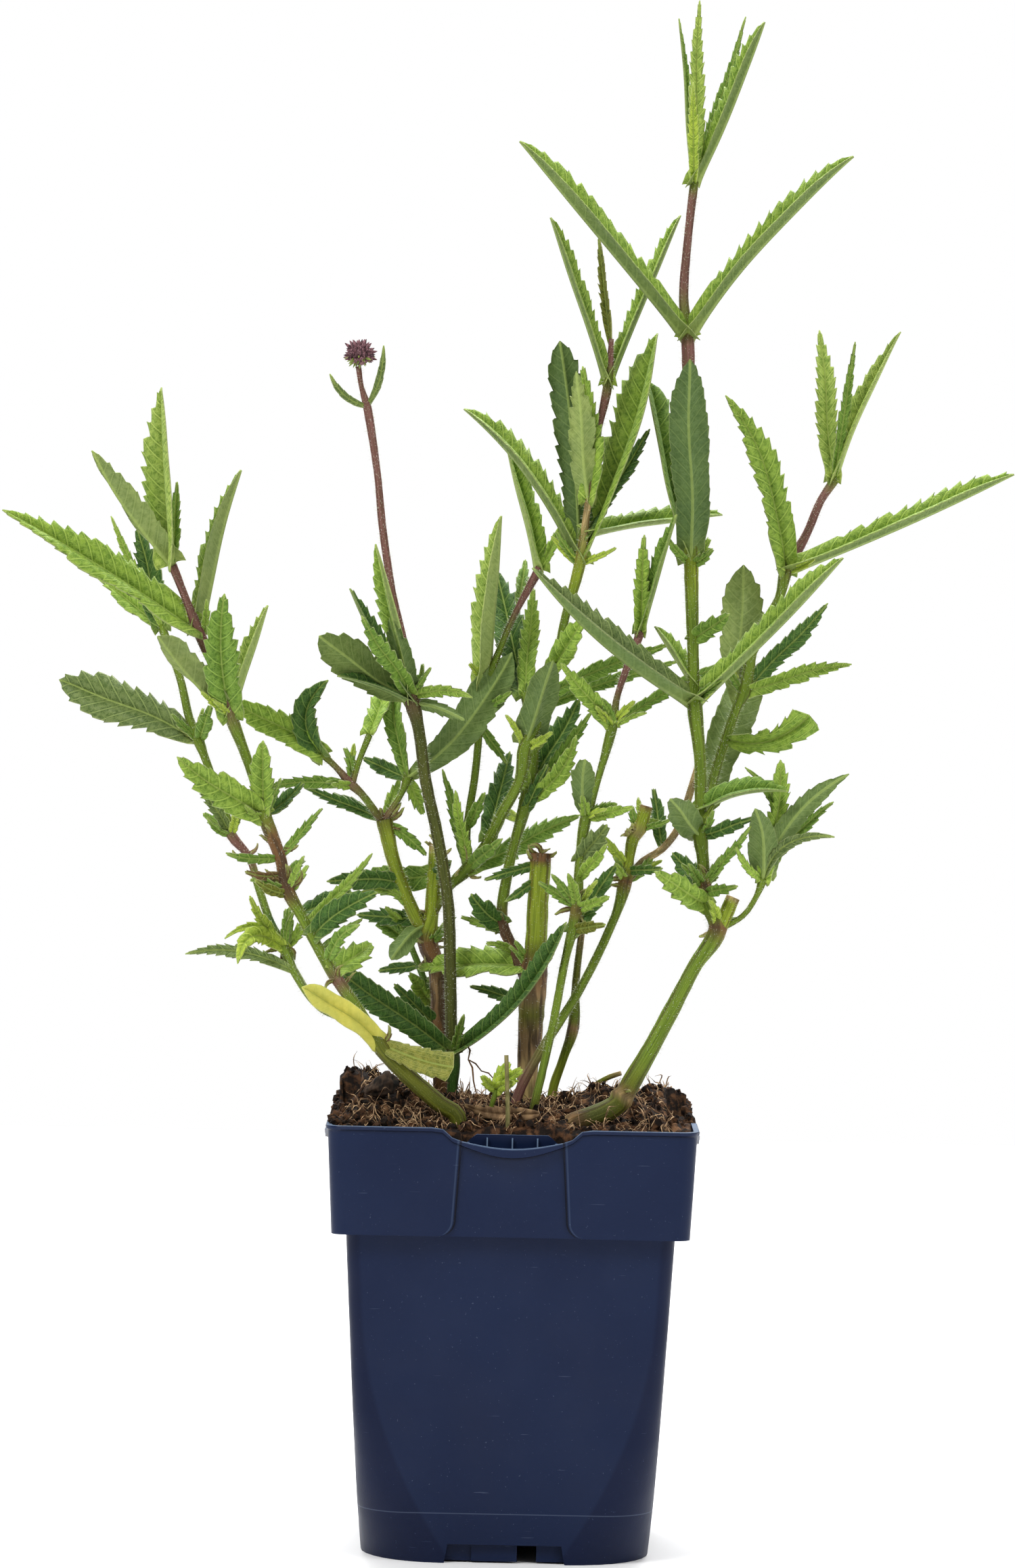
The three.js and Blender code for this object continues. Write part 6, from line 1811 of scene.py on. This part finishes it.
    def foot(self) -> BMesh:
        """Builds the round middle foot with a ring groove, and the plates that stand round it."""
        made = bmesh.new()
        size = self.foot_radius * MM
        depth = (self.floor_bottom + 0.3) * MM
        bmesh.ops.create_cone(made, cap_ends=True, segments=64, radius1=size, radius2=size, depth=depth)
        bmesh.ops.translate(made, verts=made.verts[:], vec=(0, 0, depth / 2))
        base = [face for face in made.faces if face.normal.z < -0.9]
        bmesh.ops.inset_region(made, faces=base, thickness=3 * MM)
        bmesh.ops.inset_region(made, faces=base, thickness=1 * MM, depth=-1.5 * MM)
        for side in range(4):
            for left, right, out in self.plates:
                self.block(made, (right - left, *self.plate_size), ((left + right) / 2, -out, 3.2), side)
        return made

    def build(self) -> None:
        """Builds the pot."""
        # The label pockets and their ribs take a paler copy of the navy plastic.
        paler = PotFinish("pocket_plastic", deep=self.pocket_deep, light=self.pocket_pale)
        piece = Build("pot_finished", "pot_plastic", [PotFinish().make(), paler.make()])
        piece.add(self.skin())
        piece.add(self.foot())
        for side in range(4):
            for index, part in enumerate((self.pocket(), self.ribs())):
                bmesh.ops.rotate(part, verts=part.verts[:], cent=(0, 0, 0), matrix=quarter(side))
                piece.add(part, index)
        bevel = piece.finish("pot").modifiers.new("soft_edges", "BEVEL")
        bevel.width, bevel.segments, bevel.limit_method = self.edge_round * MM, 2, "ANGLE"
        bevel.angle_limit, bevel.harden_normals = math.radians(38), True


@dataclass(frozen=True)
class Soil:
    """The peat in the pot: an uneven crumbly top, loose crumbs and root fibres."""

    level: float = 133.0
    heaps: tuple[tuple[float, float, float, float], ...] = (
        (-46, 22, 7, 9), (-33, 4, 5, 12), (-38, -18, 5, 9), (44, 8, 6, 10), (29, -12, 8, 7),
        (8, -18, 3, 14), (0, -47, -0.5, 9), (-50, -38, 3.6, 7), (-50, -12, 3.2, 7), (-50, 8, 3, 7),
        (-50, 44, 7, 8), (50, -32, 2.4, 6), (51, -8, 2.6, 7), (50, 42, 6, 8), (26, 12, 4, 4),
        (-52, 24, 4, 7), (52, 18, 4, 8),
    )
    half: float = 53.5
    squareness: int = 14
    columns: int = 264
    top_rows: int = 56
    plug: tuple[tuple[float, float], ...] = ((0.985, 124.0), (0.91, 104.0), (0.0, 104.0))
    pocket_plug: tuple[float, float] = (0.955, 111.0)
    pocket_level: float = 113.0
    pocket_half: float = 15.2
    pocket_face: float = 47.3
    pocket_wall: float = 51.4
    crumbs: int = 2600
    rim_crumbs: int = 650
    rim_top: float = 131.2
    fibres: int = 1100
    fibre_limit: float = 52.5
    fibre_rows: int = 6
    seed: int = 41

    def in_pocket(self, x: float, y: float, margin: float = 0.0) -> bool:
        """Tells whether a place is inside a label pocket, or nearer to it than the margin."""
        near, far = sorted((abs(x), abs(y)))
        return near < self.pocket_half + margin and far > self.pocket_face - margin

    def kept_inside(self, x: float, y: float) -> tuple[float, ...]:
        """Keeps a place in a label pocket clear of the pot's outer wall."""
        limit = self.pocket_wall if self.in_pocket(x, y) else math.inf
        return tuple(max(-limit, min(limit, value)) for value in (x, y))

    def surface(self, x: float, y: float) -> float:
        """Gives the height of the soil, without its crumb.

        Args:
            x: Place across.
            y: Place in depth.

        Returns:
            The height there.
        """
        if self.in_pocket(x, y):
            return self.pocket_level
        z = self.level - 2.5 * (x * x + y * y) / (55.0 * 55.0)
        for heap_x, heap_y, height, spread in self.heaps:
            away = ((x - heap_x) ** 2 + (y - heap_y) ** 2) / (2 * spread * spread)
            z += height * math.exp(-away)
        return z + 0.7 * math.sin(x * 0.47 + 1.1) * math.sin(y * 0.41 - 0.6)

    def crumbled(self, x: float, y: float) -> float:
        """Gives the height of the soil with its lumps and crumb.

        Args:
            x: Place across.
            y: Place in depth.

        Returns:
            The height there.
        """
        lumps = noise.fractal(Vector((x * 0.16, y * 0.16, 2.0)), 0.9, 2.1, 5)
        clods = abs(noise.noise(Vector((x * 0.3, y * 0.3, 9.0))))
        rise = 1.7 * lumps + 2.2 * clods - 0.9
        brim = max(abs(x), abs(y)) / self.half
        return self.surface(x, y) + rise * (1.0 if brim < 0.97 else 0.4)

    def brim_point(self, around: float) -> Vector:
        """Gives a point of the rounded square brim.

        Args:
            around: Its angle.

        Returns:
            The point, at no height.
        """
        x, y = math.cos(around), math.sin(around)
        reach = (abs(x) ** self.squareness + abs(y) ** self.squareness) ** (-1 / self.squareness)
        return Vector((x * reach * self.half, y * reach * self.half, 0))

    def ground(self) -> BMesh:
        """Builds the closed plug of soil with its crumbly top."""

        def place(column: int, row: int, _: bool) -> Skin:
            """Puts one point of the soil.

            Args:
                column: Its column, round the brim.
                row: Its row, from the middle of the top over the brim to the middle of the base.

            Returns:
                The point, its tone and its places on the two maps.
            """
            edge = self.brim_point(2 * math.pi * (column % self.columns) / self.columns)
            if row <= self.top_rows:
                share = row / self.top_rows
                x, y = self.kept_inside(edge.x * share, edge.y * share)
                return Vector((x, y, self.crumbled(x, y))), (1, 1, 1), (x, y), (0, 0)
            shrink, z = self.plug[row - self.top_rows - 1]
            if row == self.top_rows + 1 and self.in_pocket(edge.x, edge.y):
                shrink, z = self.pocket_plug
            return Vector((edge.x * shrink, edge.y * shrink, z)), *UNPAINTED

        return sheet(self.columns, self.top_rows + len(self.plug), place)

    def spot(self, chance: random.Random, margin: float) -> Vector:
        """Chooses a place on the soil.

        Args:
            chance: The source of the choice.
            margin: How far inside the pot's wall it stays.

        Returns:
            The place, outside the label pockets.
        """
        reach = self.half - margin
        x, y = (chance.uniform(-reach, reach) for _ in range(2))
        while self.in_pocket(x, y, 1.6):
            x, y = (chance.uniform(-reach, reach) for _ in range(2))
        return Vector((x, y, self.crumbled(x, y)))

    def rim_spot(self, chance: random.Random) -> Vector:
        """Chooses a place on the top of the pot's rim, at its sides and back, where peat lies on it.

        Args:
            chance: The source of the choice.

        Returns:
            The place.
        """
        along, out = chance.uniform(-48, 53.5), chance.uniform(52.8, 54.4)
        side = chance.choice(("left", "left", "right", "back"))
        if side == "back":
            return Vector((along, out, self.rim_top))
        if side == "right":
            along = max(along, chance.uniform(-24, 53))
        heaped = 1.6 * max(0.0, noise.noise(Vector((along * 0.2, 0, 0))))
        return Vector((out if side == "right" else -out, along, self.rim_top + heaped))

    def crumb_heap(self, chance: random.Random) -> BMesh:
        """Scatters small lumps of peat over the top.

        Args:
            chance: The source of their places and sizes.

        Returns:
            The bmesh, in metres.
        """
        lumps = bmesh.new()
        bmesh.ops.create_icosphere(lumps, subdivisions=1, radius=1.0)
        for order, points in enumerate(repeated(lumps, self.crumbs + self.rim_crumbs)):
            where = self.spot(chance, 1.5) if order < self.crumbs else self.rim_spot(chance)
            size = chance.uniform(0.35, 1.0) if chance.random() < 0.85 else chance.uniform(1.0, 1.9)
            turned = Euler([chance.uniform(0, 6.3) for _ in range(3)]).to_matrix()
            for point, rest in points:
                uneven = 1 + chance.uniform(-0.25, 0.25)
                sized = Vector((rest.x * size * 1.2, rest.y * size, rest.z * size * 0.75)) * uneven
                point.co = (where + turned @ sized + Vector((0, 0, size * 0.3))) * MM
        return lumps

    def fibre_mat(self, chance: random.Random) -> BMesh:
        """Lays curved root fibres over the top.

        Args:
            chance: The source of their places and curves.

        Returns:
            The bmesh, in metres.
        """
        fibres = bmesh.new()
        for _ in range(self.fibres):
            where = self.spot(chance, 4.0)
            turn, reach = chance.uniform(0, 6.3), chance.uniform(2.0, 8.5)
            thick, curl = chance.uniform(0.07, 0.2), chance.uniform(-0.9, 0.9)
            lift = chance.uniform(0.0, 2.8)
            rise = chance.uniform(1.5, 6.5) if chance.random() < 0.3 else 0.0

            def place(column: int, row: int, _: bool) -> Skin:
                """Puts one point of the fibre.

                Args:
                    column: Its column, round the fibre.
                    row: Its row, along the fibre.

                Returns:
                    The point, and a tone and maps that are the same all over.
                """
                share = row / self.fibre_rows
                angle = turn + curl * share * 2
                x = where.x + math.cos(angle) * reach * (share - 0.5)
                y = where.y + math.sin(angle) * reach * (share - 0.5)
                x, y = (max(-self.fibre_limit, min(self.fibre_limit, value)) for value in (x, y))
                z = max(self.crumbled(x, y), where.z - 1) + 0.1 + lift * math.sin(math.pi * share)
                z += rise * share**1.5
                round_it = 2 * math.pi * (column % 3) / 3
                slim = thick * (0.25 + math.sin(math.pi * min(1, share + 0.12)))
                off = Vector((math.cos(round_it) * slim, 0, math.sin(round_it) * slim))
                return Vector((x, y, z)) + off, *UNPAINTED

            pour(sheet(3, self.fibre_rows, place), fibres)
        return fibres

    def build(self) -> None:
        """Builds the soil."""
        chance = random.Random(self.seed)
        piece = Build("soil_finished", "peat", [PeatFinish().make(), FIBRE.make()])
        piece.add(self.ground())
        piece.add(self.crumb_heap(chance), smooth=False)
        piece.add(self.fibre_mat(chance), 1)
        piece.finish("soil")


@dataclass(frozen=True)
class LooseBits:
    """What lies or grows on the soil: a bark chunk, a seedling, a thin stick and a dead leaf.

    The seeds are those of the stalk, its first leaf, the stick and the dead leaf.
    """

    chunk_half: Triple = (5.6, 3.6, 3.9)
    chunk_middle: Triple = (-39.8, -20, 140.6)
    chunk_turn: float = -0.42
    stalk: Stem = Stem(((-7, 122, -34, 0.8), (-6.5, 133, -34, 0.8), (-5, 138.5, -34, 0.9)), ((130, STEM),))
    seed_leaves: tuple[Leaf, ...] = tuple(
        Leaf(138.5, tip_x, tip_z, lean, half, LIME, 10, 0.5, 20, CLASPING)
        for tip_x, tip_z, lean, half in (
            (2.6, 144.6, -3, 2.9), (-1.2, 147, 2, 2.4), (-9.5, 142.5, -2, 1.9), (0.5, 140.5, -5, 1.9),
        )
    )
    twig: Stem = Stem(
        ((-1.2, 118, -43, 0.75), (-1.6, 134, -43, 0.7), (-2.3, 149, -42, 0.65)), ((130, OLIVE),)
    )
    seeds: tuple[int, int, int, int] = (5, 70, 9, 91)
    fallen: Leaf = Leaf(131.3, -15, 133.5, 2, 2.6, BROWN, 0, 1.5, 18)
    fallen_base: Triple = (8, 131.3, -40)

    def bark(self) -> None:
        """Builds the black bark chunk."""
        piece = Build("bark_chunk_finished", "bark", [BARK_BIT.make()])
        chunk = bmesh.new()
        bmesh.ops.create_icosphere(chunk, subdivisions=4, radius=1.0)
        turn, middle = Matrix.Rotation(self.chunk_turn, 3, "Y"), Vector(self.chunk_middle)
        long, deep, tall = self.chunk_half
        for point in chunk.verts:
            drawn = Vector((point.co.x * 0.5, point.co.y * 3.2, point.co.z * 3.2))
            rough = 1 + 0.24 * noise.noise(point.co * 1.7) + 0.16 * noise.noise(drawn)
            slim = 0.78 + 0.24 * point.co.x
            flat = Vector((point.co.x * long, point.co.y * deep * slim, point.co.z * tall * slim)) * rough
            point.co = (turn @ flat + middle) * MM
        piece.add(chunk)
        piece.finish("bark_chunk")

    def seedling(self, finishes: list[Material]) -> None:
        """Builds the seedling at the front of the soil.

        Args:
            finishes: Leaf and stem materials.
        """
        piece = Build("seedling_finished", "leaf_green", finishes)
        stalk_seed, leaf_seed, _, _ = self.seeds
        piece.add(self.stalk.build(stalk_seed), 1)
        for seed, leaf in enumerate(self.seed_leaves, leaf_seed):
            piece.add(leaf.build(Vector(self.stalk.stations[-1][:3]), seed))
        piece.finish("seedling")

    def stick(self) -> None:
        """Builds the thin upright stick."""
        piece = Build("thin_stick_finished", "brown_stem", [STICK.make()])
        piece.add(self.twig.build(self.seeds[2]))
        piece.finish("thin_stick")

    def dead_leaf(self) -> None:
        """Builds the dead leaf that lies across the front."""
        piece = Build("dead_leaf_finished", "dry_leaf", [DEAD_LEAF.make()])
        piece.add(self.fallen.build(Vector(self.fallen_base), self.seeds[3]))
        piece.finish("dead_leaf")


@dataclass(frozen=True)
class Studio:
    """Pale floor, soft light and the camera of the photograph."""

    floor_size: float = 1.3
    pale: Colour = (0.90, 0.90, 0.90)
    fade: tuple[float, float] = (-0.9, 0.25)
    dim: float = 0.16
    pot_aim: Triple = (0, 0, 0.25)
    floor_aim: Triple = (0, 1.0, 0)

    def floor(self) -> None:
        """Lays a large plain floor under the pot."""
        made = bmesh.new()
        bmesh.ops.create_grid(made, x_segments=1, y_segments=1, size=self.floor_size)
        mesh = bpy.data.meshes.new("floor")
        made.to_mesh(mesh)
        made.free()
        shader = Shader("pale_floor", 0.7)
        patch = shader.ranged(shader.object_noise(300.0), 0.3, 0.7)
        lighter = tuple(channel * 1.02 for channel in self.pale)
        mesh.materials.append(shader.finished(shader.mixed(patch, self.pale, lighter)))
        shown("floor", mesh)

    def surround(self) -> None:
        """Sets a white surround that lights less from the front and looks white to the camera."""
        world = bpy.data.worlds.new("white_surround")
        bpy.context.scene.world = world
        world.use_nodes = True
        nodes = Nodes(world.node_tree)
        surround = world.node_tree.nodes["Background"].inputs
        backward = nodes.parts(nodes.node("TexCoord", "Generated"))[1]
        light = nodes.ranged(backward, *self.fade, (self.dim, 1.0))
        seen = nodes.node("LightPath", "Is Camera Ray")
        nodes.put(surround["Color"], (1.0, 1.0, 1.0))
        nodes.put(surround["Strength"], nodes.math("MAXIMUM", light, seen))

    def lamps(self) -> None:
        """Hangs three large soft lamps round the pot and one over the floor behind."""
        for name, place, aim, size, power in (
            ("key_left", (-0.9, -1.0, 1.5), self.pot_aim, 0.6, 21.0),
            ("fill_right", (1.2, -0.9, 1.0), self.pot_aim, 0.8, 9.0),
            ("top", (0.1, 0.5, 1.6), self.pot_aim, 0.9, 12.0),
            ("floor_behind", (0.0, 1.1, 1.6), self.floor_aim, 1.2, 30.0),
        ):
            lamp = bpy.data.lights.new(name, "AREA")
            lamp.size, lamp.energy = size, power
            holder = shown(name, lamp)
            holder.location = place
            holder.rotation_euler = (Vector(aim) - Vector(place)).to_track_quat("-Z", "Y").to_euler()

    def camera(self) -> None:
        """Sets up the camera that matches the photograph."""
        lens = bpy.data.cameras.new("front_camera")
        lens.lens, lens.sensor_width, lens.clip_end = VIEW.lens, VIEW.sensor, VIEW.reach
        camera = shown("front_camera", lens)
        tilt = Matrix.Rotation(math.radians(90 - VIEW.pitch), 4, "X")
        turn = Matrix.Rotation(math.radians(VIEW.roll), 4, "Z")
        place = Matrix.Translation(Vector((VIEW.x, -VIEW.distance, VIEW.z)) * MM)
        camera.matrix_world = place @ tilt @ turn
        bpy.context.scene.camera = camera


def main() -> None:
    """Builds the camera, the light, the pot, the soil and the plant, in that order."""
    studio = Studio()
    studio.camera()
    studio.surround()
    studio.lamps()
    studio.floor()
    Pot().build()
    Soil().build()
    greens = [LeafFinish().make(), StemFinish().make()]
    for seed, plant in enumerate(PLANTS, FIRST_SEED):
        plant.build(greens, seed)
    Hairs().build(PLANTS)
    FlowerHead().build(greens[0])
    bits = LooseBits()
    bits.bark()
    bits.seedling(greens)
    bits.stick()
    bits.dead_leaf()
    bpy.context.scene.view_settings.view_transform = "Standard"


if __name__ == "__main__":
    logging.basicConfig(level=logging.INFO, format="%(name)s %(message)s")
    main()
